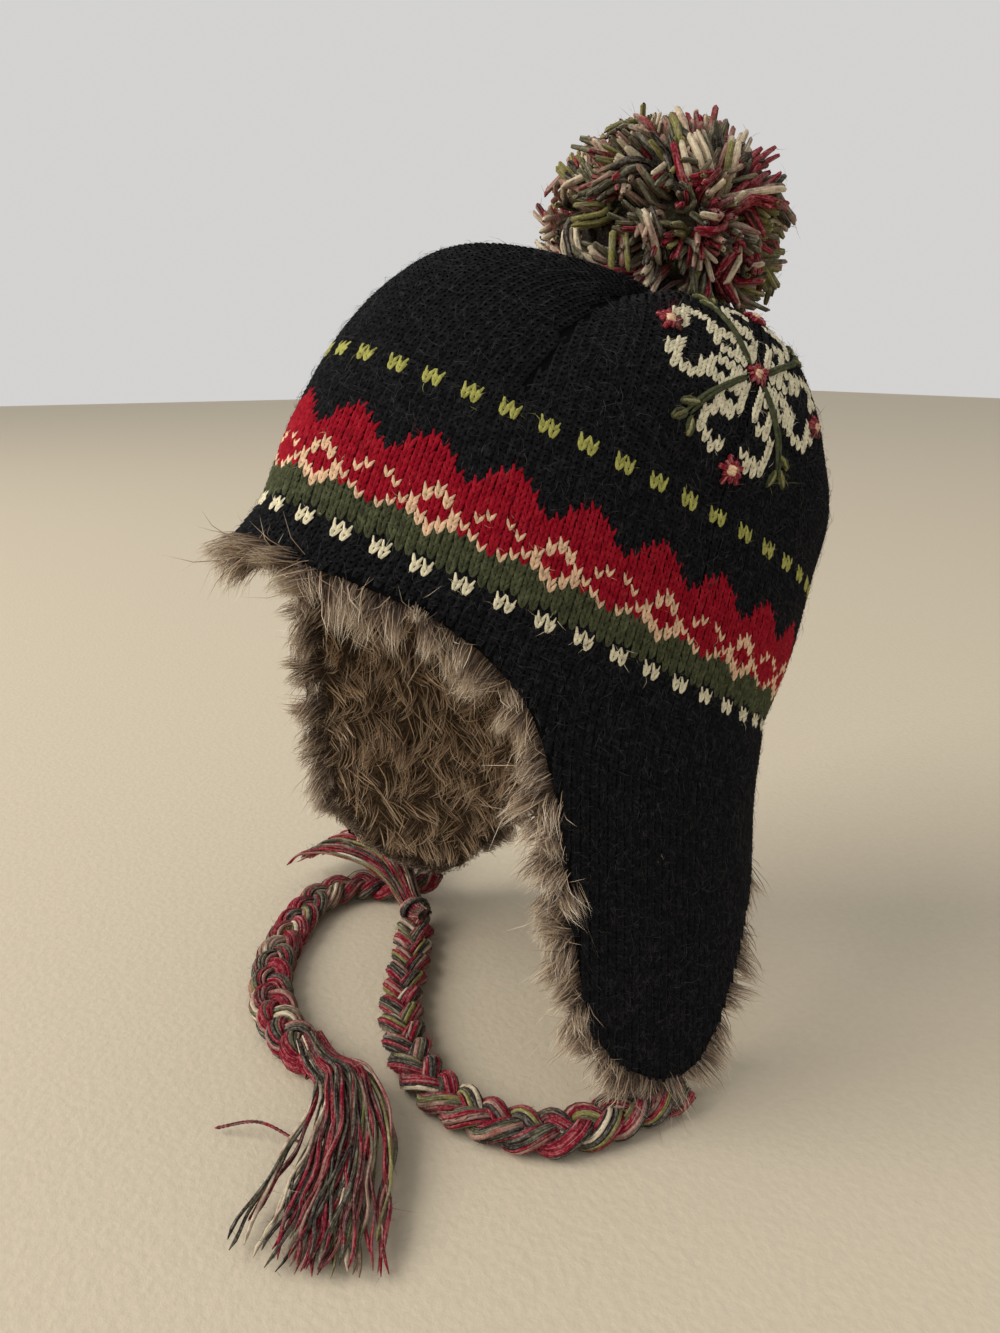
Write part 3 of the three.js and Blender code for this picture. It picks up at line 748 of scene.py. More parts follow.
def tassel(name, line, seed, count, neck, turns):
    """Loose ends of the braid past its knot, with the turns of the knot."""
    s = bpy.context.scene.beanie_yarn
    rng = np.random.default_rng(seed)
    heap = Heap()
    # The ends are drawn out over the top of the last plait.
    back = unit(line[0, :3] - line[1, :3]) * [1, 1, 0] * 13 + [0, 0, 4]
    line = np.vstack([[*(line[0, :3] + back), 6.0], line])
    p = tassel_paths(line, count, neck, rng)
    r = s.thick / 2 * rng.uniform(0.7, 1.15, (count, 1)) * np.append(np.ones(p.shape[1] - 1), 0.25)
    mats = pick_yarns(rng, count, (0.34, 0.12, 0.08, 0.09, 0.12, 0.25))
    strands(heap, p, r, 5, 6.0, 0.1, mats, rng)
    down(heap, p, 34, 0.7, rng, mats)
    mid, _ = spline(line, 90)
    t = unit(mid[12, :3] - mid[6, :3])
    side = unit(np.cross(t, [0, 0, 1.0]))
    up = np.cross(side, t)
    q = np.linspace(0, 2 * math.pi, 25)
    tie_wide, tie_high = 6.8, 5.6
    for k in range(turns):
        c = mid[9 + k, :3] + np.array([0, 0, 0.8]) + t * rng.normal(0, 0.3)
        lean = 1.6 * np.sin(q + rng.uniform(0, 6))
        ring = (c + side * (np.cos(q) * tie_wide)[:, None]
                + up * (np.sin(q) * tie_high)[:, None] + t * lean[:, None])
        strands(heap, ring[None], 1.25, 6, 5.0, 0.15, int(pick_yarns(rng, 1)[0]), rng)
    return heap.build(name, yarn_finishes(), name, "tassel_yarn")


def loose_yarn(name, points, seed, colour):
    """One strand that has worked loose and lies by itself."""
    heap = Heap()
    path, _ = spline(np.array(points, float), 40)
    radius = 0.6 * np.append(np.ones(39), 0.2)
    strands(heap, path[None], radius, 6, 4.0, 0.2, colour, np.random.default_rng(seed))
    return heap.build(name, yarn_finishes(), None, "tassel_yarn")


class BEANIE_OT_braids(bpy.types.Operator):
    """Plaits both braids along their routes and ends each in its tassel"""
    bl_idname = "beanie.braids"
    bl_label = "Braids and tassels"

    def execute(self, context):
        stray = loose_yarn("loose_yarn", [(41, -130, -170), (28, -141, -166), (17, -155, -171)],
                           3, YARN.index("crimson"))
        # Side, route, tassel, seed, yarns of the tassel, its neck, turns of its tie, extras.
        plan = [("left", LEFT_ROUTE, LEFT_TASSEL, 5, 96, 0.55, 3, []),
                ("right", RIGHT_ROUTE, RIGHT_TASSEL, 8, 100, 0.8, 0, [stray])]
        for side, route, line, seed, count, neck, turns, extra in plan:
            obj, fluff, path, length = braid(side + "_braid", route, seed)
            end = tassel(side + "_tassel", line, seed + 20, count, neck, turns)
        return {"FINISHED"}


def wale_angles(rises, stitches):
    """Angle of each wale on each row, with wales lost into the four darts.

    Gives arrays of wale number, row number and angle.
    """
    band_deg = np.linspace(-180, 180, 2881)
    arc = walk_along(cloth(band_deg, 0.0))
    arc = (arc - np.interp(0, band_deg, arc)) / arc[-1] * stitches
    wales = np.arange(math.ceil(arc[0]), math.floor(arc[-1] - 0.5) + 1)
    home = np.interp(wales + 0.5, arc, band_deg)
    # Up to here the crown keeps all its wales.
    full = np.interp(2.05, RISE_ROWS, RISE)
    out = []
    for j, rise in enumerate(rises):
        if rise <= 0:
            out.append(np.stack([wales, np.full(len(wales), j), home], -1))
            continue
        for centre in (0, 90, 180, 270):
            d = centre + np.linspace(-45, 45, 121)
            off = (home - centre + 180) % 360 - 180
            inside = (off >= -45) & (off < 45)
            lines = [centred_arc(centre, d, h) for h in (0.0, min(rise, full), rise)]
            first = np.interp(centre + off[inside], d, lines[0])
            side = np.where(first < 0, lines[1][0] / lines[0][0], lines[1][-1] / lines[0][-1])
            now = first * side
            keep = (now > lines[2][0] + 0.8) & (now < lines[2][-1] - 0.8)
            if rise <= full:
                keep = np.ones(len(now), bool)
            deg = np.interp(now[keep], lines[2], d)
            out.append(np.stack([wales[inside][keep], np.full(keep.sum(), j), deg], -1))
    return np.vstack(out)


# Rows of the band's plane and of the stars' centres, by the chart's count.
BAND_ROW = 12.5
STAR_ROW = -43
STAR_OFF = 1.2               # from a star's centre to the middle wale of the side
DIAMOND_WALE = 5             # wale of a diamond's middle
STAR_SPAN = np.linspace(-44, 44, 177)    # degrees round a star's centre that are measured


def segment_gap(x, y, a, b):
    """Distance of points from a line between two others."""
    a, b = np.array(a, float), np.array(b, float)
    d = b - a
    t = np.clip(((x - a[0]) * d[0] + (y - a[1]) * d[1]) / (d @ d), 0, 1)
    return np.hypot(x - a[0] - d[0] * t, y - a[1] - d[1] * t)


def star_petals(x, y):
    """Where the ecru of the eight-petalled star lies, in mm from its centre.

    Four pairs of petals; each has a small eye and an open hook at its end.
    """
    on = np.zeros(np.shape(x), bool)
    for across, outward in ((x, y), (x, -y), (y, x), (y, -x)):
        p, q = np.abs(across), outward
        leaf_along = ((p - 7.2) * 0.42 + (q - 14.5) * 0.91) / 10.5
        leaf_off = ((p - 7.2) * 0.91 - (q - 14.5) * 0.42) / 5.6
        leaf = leaf_along**2 + np.abs(leaf_off)**2.2 < 1
        eye = ((p - 7.4) / 2.5)**2 + ((q - 15.5) / 3.3)**2 < 1
        hook = np.minimum.reduce([
            segment_gap(p, q, (11.5, 20.0), (16.0, 27.0)),
            segment_gap(p, q, (16.0, 27.0), (15.0, 32.5)),
            segment_gap(p, q, (15.0, 32.5), (9.5, 36.0)),
            segment_gap(p, q, (9.5, 36.0), (5.4, 33.0))]) < 2.15
        on |= ((leaf & ~eye) | hook) & (q > 4)
    return on


def chart(wale, row, x, y):
    """Wool number of each stitch.  Rows count down from the diamonds' tips.

    Wales count from a diamond's middle; x and y are mm from a star's centre.
    """
    yarn = np.zeros(wale.shape, int)
    zig = np.abs((wale - 2 + 4) % 8 - 4)
    yarn[(row >= np.choose(zig, [-7, -6, -5, -3, -2])) & (row <= 11)] = 1
    am = np.abs((wale + 6) % 12 - 6)
    start = np.choose(am, [8, 7, 6, 6, 6, 7, 7])
    stop = np.where(np.isin(wale % 4, (0, 1)), 10, 11)
    yarn[(row >= start) & (row <= stop)] = 2
    yarn[row > stop] = 0
    # Rows of the diamond's outline and of the lace beside it, by wales from its middle.
    rings = [(0, 1, 6, 7), (1, 2, 5, 6), (3, 4, 5), (4,), (2, 5), (1, 6), ()]
    for off, rows in enumerate(rings):
        yarn[(am == off) & np.isin(row, rows)] = 5
    yarn[np.isin(row, (12, 13)) & np.isin(wale % 4, (0, 1))] = 4
    yarn[np.isin(row, (-16, -15)) & np.isin(wale % 4, (3, 0))] = 3
    yarn[star_petals(x, y) & (row < -17)] = 4
    return yarn


def leg_shape(wide, high, stations, plump):
    """One V stitch: two plump slanting legs, as points and faces."""
    # Along the leg: place, half width and height of its ridge.
    at, broad, tall = {2: ([0, 1], [0.2, 0.16], [0.6, -0.15]),
                       3: ([0, 0.5, 1], [0.14, 0.19, 0.1], [0.3, 0.7, 0.05])}[stations]
    t, top = np.array(at, float), np.array(tall)
    x = wide * (0.05 + 0.36 * t)
    y = high * (-0.78 + 1.75 * t)
    half = wide * plump * np.array(broad)
    dx, dy = np.gradient(x), np.gradient(y)
    n = np.hypot(dx, dy)
    px, py = dy / n, -dx / n
    pts = []
    for mirror in (1, -1):
        for off, lift in ((-1, -0.55), (0, 0), (1, -0.55)):
            z = top + lift * (0.4 + 0.6 * (top > 0.1))
            pts.append(np.stack([mirror * (x + px * half * off), y + py * half * off, z], -1))
    one = grid_faces(3, stations)
    faces = np.vstack([one, one[:, ::-1] + 3 * stations])
    return np.stack(pts).reshape(-1, 3), faces


def star_place(side, x, y):
    """Angle and rise of points given in mm from the centre of a star."""
    s = bpy.context.scene.beanie_knit
    centre = 90.0 if side > 0 else -90.0
    rise = (BAND_ROW - STAR_ROW) * s.row - np.asarray(y, float)
    deg = np.zeros_like(rise)
    d = centre + STAR_SPAN
    for i, (h, gone) in enumerate(zip(rise, np.asarray(x, float))):
        deg[i] = np.interp(gone * side, centred_arc(centre, d, h), d)
    return deg, rise


class BEANIE_OT_knit(bpy.types.Operator):
    """Knits the outside stitch by stitch from the chart over a thin ground"""
    bl_idname = "beanie.knit"
    bl_label = "Knitted outside"

    def execute(self, context):
        s = context.scene.beanie_knit
        rng = np.random.default_rng(12)
        high = s.row
        top = RISE[-1] * 0.965
        low = -int(EDGE[:, 2].max() / high) - 1
        rises = np.arange(low, int(top / high)) * high + high / 2
        cells = wale_angles(rises, s.stitches)
        wale, j, deg = cells[:, 0].astype(int), cells[:, 1].astype(int), cells[:, 2]
        rise = rises[j]
        keep = -rise <= edge_fall(deg) - 0.8
        wale, deg, rise = wale[keep], deg[keep], rise[keep]
        row = np.rint(BAND_ROW - rise / high).astype(int)
        # Millimetres from the nearer star's centre, along the row and down.
        centre = np.where(deg % 360 <= 180, 90.0, 270.0)
        x = np.full(len(deg), 999.0)
        near = (row < -16) & (np.abs(deg % 360 - centre) < 43)
        for h in np.unique(rise[near]):
            for c, sign in ((90.0, 1), (270.0, -1)):
                picked = near & (rise == h) & (centre == c)
                d = c + STAR_SPAN
                x[picked] = sign * np.interp(deg[picked] % 360, d, centred_arc(c, d, h))
        y = (row - STAR_ROW) * high
        yarn = chart(wale - DIAMOND_WALE, row, x + STAR_OFF, y)
        self.ground(s)
        place = cloth(deg, rise)
        u, v, n = cloth_axes(deg, rise)
        wide = BAND_ROUND / s.stitches
        split = 45.0
        # Piece, its stitches, stations along a leg, plumpness.
        groups = [("knit_crown", (yarn == 0) & (rise > split), 2, 1.0),
                  ("knit_flaps", (yarn == 0) & (rise <= split), 2, 1.0),
                  ("knit_pattern", yarn > 0, 3, 0.98)]
        for name, which, stations, plump in groups:
            pts, faces = leg_shape(wide, high, stations, plump)
            k = int(which.sum())
            size = 1 + rng.normal(0, 0.045, (k, 1))
            slant = pts[:, 1] * rng.normal(0, 0.06, (k, 1))
            x2 = pts[:, 0] + slant + rng.normal(0, 0.1, (k, 1))
            y2 = pts[:, 1] + rng.normal(0, 0.1, (k, 1))
            z2 = pts[:, 2] + rng.normal(0, 0.06, (k, 1))
            world = (place[which, None] + u[which, None] * (x2 * size)[..., None]
                     + v[which, None] * (y2 * size)[..., None] + n[which, None] * z2[..., None])
            heap = Heap()
            heap.put(world, quads=many(faces, k, len(pts)), mat=np.repeat(yarn[which], len(faces)))
            heap.build(name, wool_finishes(), None, "wool_knit")
        self.fibres(s, rng, deg, rise, yarn)
        return {"FINISHED"}

    def ground(self, s):
        """Thin closed cloth under the stitches, in darker copies of the colours of the band over
        it: painted shade in the gaps.
        """
        deg, rise = cloth_grid(np.linspace(1, 0.04, 22), np.linspace(0, 0.995, 40))
        row = np.rint(BAND_ROW - rise / s.row).astype(int)
        mats = np.where((row > -3) & (row < 7), 1, np.where((row > 6) & (row < 11), 2, 0))
        heap = Heap()
        heap.put_cloth(deg, rise, 0.45, KNIT, mats[:-1].reshape(-1))
        # Darkened copies of the three wools: painted shade seen between the stitches.
        back = [brushed_wool("wool_back", shade(s.ground, 0.3), s.ground),
                brushed_wool("wool_back_red", shade(s.zigzag, 0.6), s.zigzag),
                brushed_wool("wool_back_green", shade(s.hill, 0.6), s.hill)]
        heap.build("knit_ground", back, "knit_shell", "wool_knit")

    def fibres(self, s, rng, deg, rise, yarn):
        """Fine fibres that stand off the brushed wool."""
        picked = rng.integers(0, len(deg), s.fibres)
        d = deg[picked] + rng.normal(0, 0.8, s.fibres)
        h = np.maximum(rise[picked] + rng.normal(0, 1.2, s.fibres), -edge_fall(d) + 0.5)
        # None grows in a crease, where it would come out of the other lobe.
        crease = (np.abs(off_front(d) % 90 - 45) < 4) & (h > 70)
        d = np.where(crease, d + 8, d)
        root = cloth(d, h)
        u, v, n = cloth_axes(d, h)
        a = rng.uniform(0, 2 * math.pi, (s.fibres, 1))
        flat = u * np.cos(a) + v * np.sin(a)
        long = np.minimum(rng.gamma(2.2, 1.15, (s.fibres, 1)) + 1.0,
                          np.where(yarn[picked] == 0, 9.0, 4.0)[:, None])
        stand = rng.uniform(0.1, 0.9, (s.fibres, 1))
        bend = rng.normal(0, 0.5, (s.fibres, 1)) * np.cross(flat, n) - n * stand * 0.7
        t = np.linspace(0, 1, 3)[None, :, None]
        paths = (root + n * 0.25)[:, None] + long[:, None] * (
            (flat + n * stand)[:, None] * t + bend[:, None] * t**2)
        heap = Heap()
        hairs(heap, paths, 0.12, rng, yarn[picked])
        heap.build("knit_fibres", wool_halo(), None, "wool_knit")


def wool_halo():
    """Loose fibres of each wool: the same fleece, seen singly, paled toward grey as painted
    highlight where they catch the light.
    """
    s = bpy.context.scene.beanie_knit
    out = []
    for k in WOOL:
        name = "fibre_" + k
        colour = blend(getattr(s, k), GREY, 0.14 if k == "ground" else 0.06)
        out.append(bpy.data.materials.get(name) or brushed_wool(name, colour, GREY, 0.12))
    return out


class BEANIE_OT_star(bpy.types.Operator):
    """Embroiders stems, leaves, buds and middle of the star on each side"""
    bl_idname = "beanie.star"
    bl_label = "Star embroidery"

    def execute(self, context):
        heap = Heap()
        rng = np.random.default_rng(4)
        mats = yarn_finishes() + wool_finishes()
        red, moss = YARN.index("crimson"), YARN.index("moss")
        green, pink = len(YARN) + WOOL.index("hill"), len(YARN) + WOOL.index("diamond")
        # Each line: finish, radius, then points in mm from the star's centre.
        lines = []
        for sx in (-1, 1):
            for sy in (-1, 1):
                # A stem of two yarns, then three leaves of three yarns each.
                for shift in (-0.8, 0.8):
                    stem = [(4, 3), (11, 12), (18, 21), (23, 31)]
                    lines.append((green, 0.75, [(sx * x + shift, sy * y) for x, y in stem]))
                for ax, ay, lx, ly in ((23, 30, 28, 35), (20, 25, 27, 28), (21, 31, 20, 38)):
                    for o in (-1.1, 0.0, 1.1):
                        middle = (sx * ((ax + lx) / 2 + o), sy * ((ay + ly) / 2 - o * 0.6))
                        lines.append((green if o else moss, 0.75,
                                      [(sx * ax, sy * ay), middle, (sx * lx, sy * ly)]))
        # Buds of ten petals, long and short by turns, with a pale knot in the middle.
        buds = [(0, 0), (1.5, 40.5), (-38.5, -1.5), (37.0, 3.0), (-1.0, -39.0)]
        for bx, by in buds:
            for k in range(10):
                a = k * math.pi / 5 + rng.uniform(-0.15, 0.15)
                c, q = math.cos(a), math.sin(a)
                r = (5.4 if k % 2 else 3.9) + rng.uniform(-0.5, 0.5)
                petal = [(bx + c * far, by + q * far) for far in (0.8, r * 0.6, r)]
                lines.append((red, 1.0, petal))
            for o in (-1.0, 0.0, 1.0):
                knot = [(bx - 1.6, by + o), (bx, by + o + 0.2), (bx + 1.6, by + o)]
                lines.append((pink, 0.8, knot))
        for side in (1, -1):
            for mat, radius, pts in lines:
                p = np.array(pts, float) + rng.normal(0, 0.2, (len(pts), 2))
                deg, rise = star_place(side, p[:, 0] - STAR_OFF, p[:, 1])
                out = cloth_axes(deg, rise)[2]
                high = {pink: 2.1, green: 0.75}.get(mat, 1.1)
                lift = np.full(len(p), high)
                lift[0] = lift[-1] = high * 0.4
                path, _ = spline(cloth(deg, rise) + out * lift[:, None], 10)
                taper = radius * np.minimum(1, 0.45 + 1.6 * np.sin(np.linspace(0, math.pi, 10)))
                strands(heap, path[None], taper, 6, 5.0, 0.16, mat, rng)
                down(heap, path[None], 9, radius, rng, mat)
        heap.build("star_embroidery", mats, None, "wool_knit")
        return {"FINISHED"}


HAIR_AT = np.linspace(0, 1, 4)    # places of a hair's points along it
RIM_DEEP = 11.0              # from the face of the knit to the innermost hair of the rim


def comb(root, first, last, length, curl):
    """Paths that leave along one direction and bend to another."""
    t = HAIR_AT[None, :, None]
    bend = first[:, None] * t + (last - first)[:, None] * t**2 / 2
    return root[:, None] + length[:, None, None] * bend + curl[:, None] * np.sin(t * 4.2) * t


def gather_tips(paths, which, pull):
    """Draws the hairs of each tuft together, by a share for each place along them."""
    number = np.maximum(np.bincount(which), 1)
    tip = np.stack([np.bincount(which, paths[:, -1, k]) / number for k in range(3)], -1)
    return paths * (1 - pull) + (paths - paths[:, -1:] + tip[which][:, None]) * pull


def keep_above(paths, floor):
    """Hair that would pass through the ground lies along it."""
    z = paths[..., 2]
    paths[..., 2] = np.where(z < floor + 0.4, floor + 0.4 + 0.02 * (z - floor), z)
    return np.maximum(paths, [-1e9, -1e9, floor + 0.1])


class BEANIE_OT_lining(bpy.types.Operator):
    """Lines the hat with pile that shows inside and hangs over the edge"""
    bl_idname = "beanie.lining"
    bl_label = "Pile lining"

    def execute(self, context):
        s = context.scene.beanie_lining
        floor = context.scene.beanie_stage.level * 1000
        self.backing()
        rng = np.random.default_rng(31)
        self.rim(s, floor, rng)
        self.inside(s, floor, rng)
        return {"FINISHED"}

    def backing(self):
        """Closed layer of cloth and pile roots against the knit."""
        deg, rise = cloth_grid(np.linspace(0.995, 0.03, 20), np.linspace(0, 0.985, 30))
        rough = 0.7 * np.sin(deg * 1.3 + rise * 0.31) + 0.6 * np.sin(deg * 0.7 - rise * 0.53)
        heap = Heap()
        heap.put_cloth(deg, rise, KNIT + GAP, KNIT + GAP + 3.4 + rough)
        heap.build("lining_cloth", pile_finishes()[1:2], "fur_lining", "pile_lining")

    def rim(self, s, floor, rng):
        """Hair that is rooted at the edge and falls over it."""
        deg = np.linspace(-180, 180, 5761)
        edge = cloth(deg, -edge_fall(deg))
        walk = walk_along(edge)
        total = walk[-1]
        tuft_apart = 4.2
        tufts = int(total / tuft_apart)
        tuft_at = (np.arange(tufts) + rng.uniform(-0.4, 0.4, tufts)) * total / tufts
        tuft_sway = rng.normal(0, 1, (tufts, 3))
        tuft_long = rng.uniform(0.72, 1.2, tufts)
        which = rng.integers(0, tufts, s.rim)
        at = (tuft_at[which] + rng.normal(0, 2.4, s.rim)) % total
        d = np.interp(at, walk, deg)
        ahead, behind = (at + 2) % total, (at - 2) % total
        t = unit(read_table(ahead, walk, edge) - read_table(behind, walk, edge))
        fall = edge_fall(d)
        out = cloth_axes(d, -fall)[2]
        away = unit(np.cross(t, out))
        deep = rng.uniform(KNIT + GAP, RIM_DEEP, s.rim)
        root = read_table(at, walk, edge) - out * deep[:, None]
        root = root - away * rng.uniform(0, 5, (s.rim, 1))
        # Shares: at the brow, toward the inside, at the left flap's back and at the nape.
        front = np.exp(-(off_front(d) / 42)**2)[:, None]
        inner = ((deep - KNIT - GAP) / (RIM_DEEP - KNIT - GAP))[:, None]
        heel = ((d > 84) & (d < 130))[:, None] * rng.uniform(0.3, 1, (s.rim, 1))
        down = np.array([0, 0, -1.0])
        sway = tuft_sway[which]
        rear = ((off_front(d) > 98) & (off_front(d) < 140))[:, None] * 1.0
        first = unit(away + out * (0.85 * front + 0.3 - 0.45 * inner + 0.5 * heel) + 0.24 * sway
                     + rng.normal(0, 0.2, (s.rim, 3)))
        last = unit(away * (0.45 + 0.7 * rear + 0.3 * heel) + down * (0.8 - 0.35 * rear)
                    + out * (0.62 * front + 0.22 - 0.3 * inner + 0.5 * heel)
                    + 0.45 * sway + rng.normal(0, 0.25, (s.rim, 3)))
        long = s.length * (0.9 + 0.42 * front[:, 0]) * tuft_long[which]
        long = long * rng.uniform(0.5, 1.12, s.rim)
        # Flap ends rest near the ground, and the right one lies on a tassel.
        low = np.clip((fall - 112) / 25, 0, 1)
        long = long * (1 + 0.4 * (fall > 45) * (d > 0) + 0.3 * heel[:, 0])
        long = long * (1 - low * np.where(d < 0, 0.88, 0.2))
        wild = rng.random(s.rim) < 0.06
        last = np.where(wild[:, None], unit(last + rng.normal(0, 0.8, (s.rim, 3))), last)
        long = np.where(wild, long * 1.2, long)
        paths = comb(root, first, last, long, rng.normal(0, 0.9, (s.rim, 3)))
        pull = (HAIR_AT**1.6)[None, :, None] * np.where(wild, 0.0, 0.5)[:, None, None]
        paths = keep_above(gather_tips(paths, which, pull), floor)
        heap = Heap()
        hairs(heap, paths, rng.uniform(0.18, 0.4, s.rim), rng)
        heap.build("rim_pile", pile_finishes()[:1], None, "pile_lining")

    def inside(self, s, floor, rng):
        """Tufts of pile combed down the inner face."""
        deg_c, rise_c = [], []
        while len(deg_c) < s.inner:
            d = rng.uniform(-180, 180)
            h = rng.uniform(-160, 150)
            crease = h > 60 and abs(off_front(np.array(d)) % 90 - 45) < 15
            if -h < edge_fall(np.array(d)) - 2 and not crease and (h < 40 or rng.random() < 0.3):
                deg_c.append(d)
                rise_c.append(h)
        deg_c, rise_c = np.array(deg_c), np.array(rise_c)
        each = 15
        which = np.repeat(np.arange(s.inner), each)
        n = len(which)
        d = deg_c[which] + rng.normal(0, 2.1, n)
        h = rise_c[which] + rng.normal(0, 3.6, n)
        h = np.maximum(h, -edge_fall(d) + 1)
        u, v, out = cloth_axes(d, h)
        root = cloth(d, h) - out * (KNIT + GAP + 3.0)
        # Waves down the pile, about 22 mm from crest to crest.
        lean = 1.1 * np.sin(deg_c * 0.16 + rise_c * 0.28)[which][:, None] + 0.3
        sway = rng.normal(0, 0.3, (s.inner, 3))[which]
        first = unit(-out * 0.8 - v * 0.7 + u * lean * 0.5 + sway + rng.normal(0, 0.15, (n, 3)))
        last = unit(-v + u * lean - out * 0.05 + sway + rng.normal(0, 0.15, (n, 3)))
        # Shorter where the cloth curves in and long pile would come out of the knit.
        curled = (h > 75) | ((off_front(d) > 118) & (h < -15))
        long = s.length * rng.uniform(0.55, 1.0, n) * np.where(curled, 0.6, 1.0)
        # Pile near a flap's end stops short of the ground.
        long = np.minimum(long, np.maximum(h + edge_fall(d), 0) * 0.7 + np.where(d < 0, 2, 6))
        paths = comb(root, first, last, long, rng.normal(0, 0.8, (n, 3)))
        pull = (HAIR_AT**1.4 * 0.5)[None, :, None]
        paths = keep_above(gather_tips(paths, which, pull), floor)
        heap = Heap()
        hairs(heap, paths, rng.uniform(0.4, 0.75, n), rng)
        # Its hair is the paler copy: painted light against the shade inside.
        heap.build("inner_pile", pile_finishes()[2:], None, "pile_lining")


class BEANIE_OT_pompom(bpy.types.Operator):
    """Gathers tufts of mixed yarn into the pompom on the crown"""
    bl_idname = "beanie.pompom"
    bl_label = "Yarn pompom"

    def execute(self, context):
        s = context.scene.beanie_yarn
        rng = np.random.default_rng(77)
        axis = np.array([0, math.sin(TILT), math.cos(TILT)])
        back = np.array([0, math.cos(TILT), -math.sin(TILT)])
        pole = crown_point(0.0, len(CROWN) - 1.0)
        centre = pole + axis * POMPOM_LEAN[2] + back * POMPOM_LEAN[1] + [POMPOM_LEAN[0], 0, 0]
        n = s.tufts
        k = np.arange(n) + 0.5
        z = 1 - 2 * k / n
        r = np.sqrt(1 - z * z)
        golden = 2.399963    # turn from one tuft to the next, so that they stand evenly
        q = k * golden
        tip = unit(np.stack([r * np.cos(q), r * np.sin(q), z], -1) + rng.normal(0, 0.05, (n, 3)))
        # The yarn is tied through the middle and opens out to either side.
        tie = unit(np.array([0.97, -0.12, 0.08]))
        near = np.where(tip @ tie > 0, 1.0, -1.0)[:, None] * tie
        swing = np.arccos(np.clip(np.sum(tip * near, 1), -1, 1))
        flow = unit(tip - near * np.sum(tip * near, 1, keepdims=True)) + rng.normal(0, 0.34, (n, 3))
        flow = unit(flow - tip * np.sum(flow * tip, 1, keepdims=True))
        across = np.cross(tip, flow)
        # A lock starts deep, swells like a petal and curls over at its end.
        each, steps = 6, 8
        t = np.linspace(0, 1, steps)
        t[-2:] = 0.975, 1.0
        lies = rng.random((n, 1, 1)) < 0.2
        span = np.where(lies, rng.uniform(0.4, 0.65, (n, 1, 1)), rng.uniform(0.1, 0.42, (n, 1, 1)))
        span = span * np.minimum(1, 0.5 + swing)[:, None, None]
        bow = rng.normal(0, 0.12, (n, 1, 1))
        t3 = t[None, :, None]
        way = unit(tip[:, None] - flow[:, None] * span * (1 - t3)
                   + across[:, None] * bow * np.sin(t3 * math.pi))
        reach = np.linalg.norm(tip * POMPOM_HALF, axis=1)[:, None, None]
        reach = reach * rng.uniform(0.9, 1.03, (n, 1, 1))
        spine = way * reach * (0.56 + 0.44 * np.where(lies, 1 - (1 - t3)**2.2, t3))
        swell = np.interp(t, [0, 0.5, 0.9, 1], [0.35, 0.65, 1.0, 0.95])
        wide = rng.uniform(3.2, 4.8, (n, 1)) * swell
        turn = rng.uniform(0, 6.28, (n, 1)) + rng.normal(0, 0.6, (n, 1)) * t
        tan = unit(np.gradient(spine, axis=1))
        rise = unit(way - tan * np.sum(way * tan, -1, keepdims=True))
        side = np.cross(rise, tan)
        which = np.repeat(np.arange(n), each)
        # Five yarns of a lock stand round the sixth.
        place = np.tile(np.arange(each) * 2 * math.pi / 5, n)[:, None] + turn[which]
        ring = np.tile(np.append(np.ones(each - 1), 0.15), n)[:, None]
        ring = ring * rng.uniform(0.7, 1.1, (n * each, 1))
        ring = ring * wide[which]
        paths = (centre + spine[which] + side[which] * (np.cos(place) * ring)[..., None]
                 + rise[which] * (np.sin(place) * ring)[..., None])
        cut = rng.normal(0, 1.8, (n * each, 1, 1)) * t3**3
        paths = paths + tan[which] * cut + rng.normal(0, 0.9, (n * each, 1, 3)) * np.sin(t3 * 5)
        radius = np.interp(t, [0, 0.3, 0.8, 0.97, 1], [0.8, 1.1, 1.4, 1.2, 0.4])
        lead = pick_yarns(rng, n, (0.15, 0.24, 0.14, 0.26, 0.13, 0.08))
        # More crimson round the ends of the tie.
        warm = (swing < 0.7) & (rng.random(n) < 0.5)
        lead = np.where(warm, 0, lead)
        mats = np.where(rng.random(n * each) < 0.6, lead[which], pick_yarns(rng, n * each))
        # No yarn goes into the crown.
        above = np.sum((paths - pole) * axis, -1, keepdims=True)
        paths = paths + axis * np.maximum(1.5 - above, 0) * (np.linalg.norm(
            paths - pole - axis * above, axis=-1, keepdims=True) < 30)
        heap = Heap()
        radius = radius * rng.uniform(0.75, 1.2, (n * each, 1))
        strands(heap, paths, radius, 5, 8.0, 0.12, mats, rng)
        down(heap, paths[:, 2:], 5, 0.9, rng, mats)
        # A dark ball fills the middle, where the real yarns are packed; its charcoal shows in the
        # gaps between locks as painted shade.
        core = 0.7 * POMPOM_HALF
        u, v = np.meshgrid(np.linspace(0, 2 * math.pi, 25)[:-1],
                           np.linspace(0.05, math.pi - 0.05, 14))
        ball = np.stack([np.sin(v) * np.cos(u), np.sin(v) * np.sin(u), np.cos(v)], -1)
        heap.put(centre + ball * core, grid_faces(14, 24, wrap=True), YARN.index("charcoal"))
        heap.build("yarn_pompom", yarn_finishes(), "pompom", "pompom_yarn")
        return {"FINISHED"}


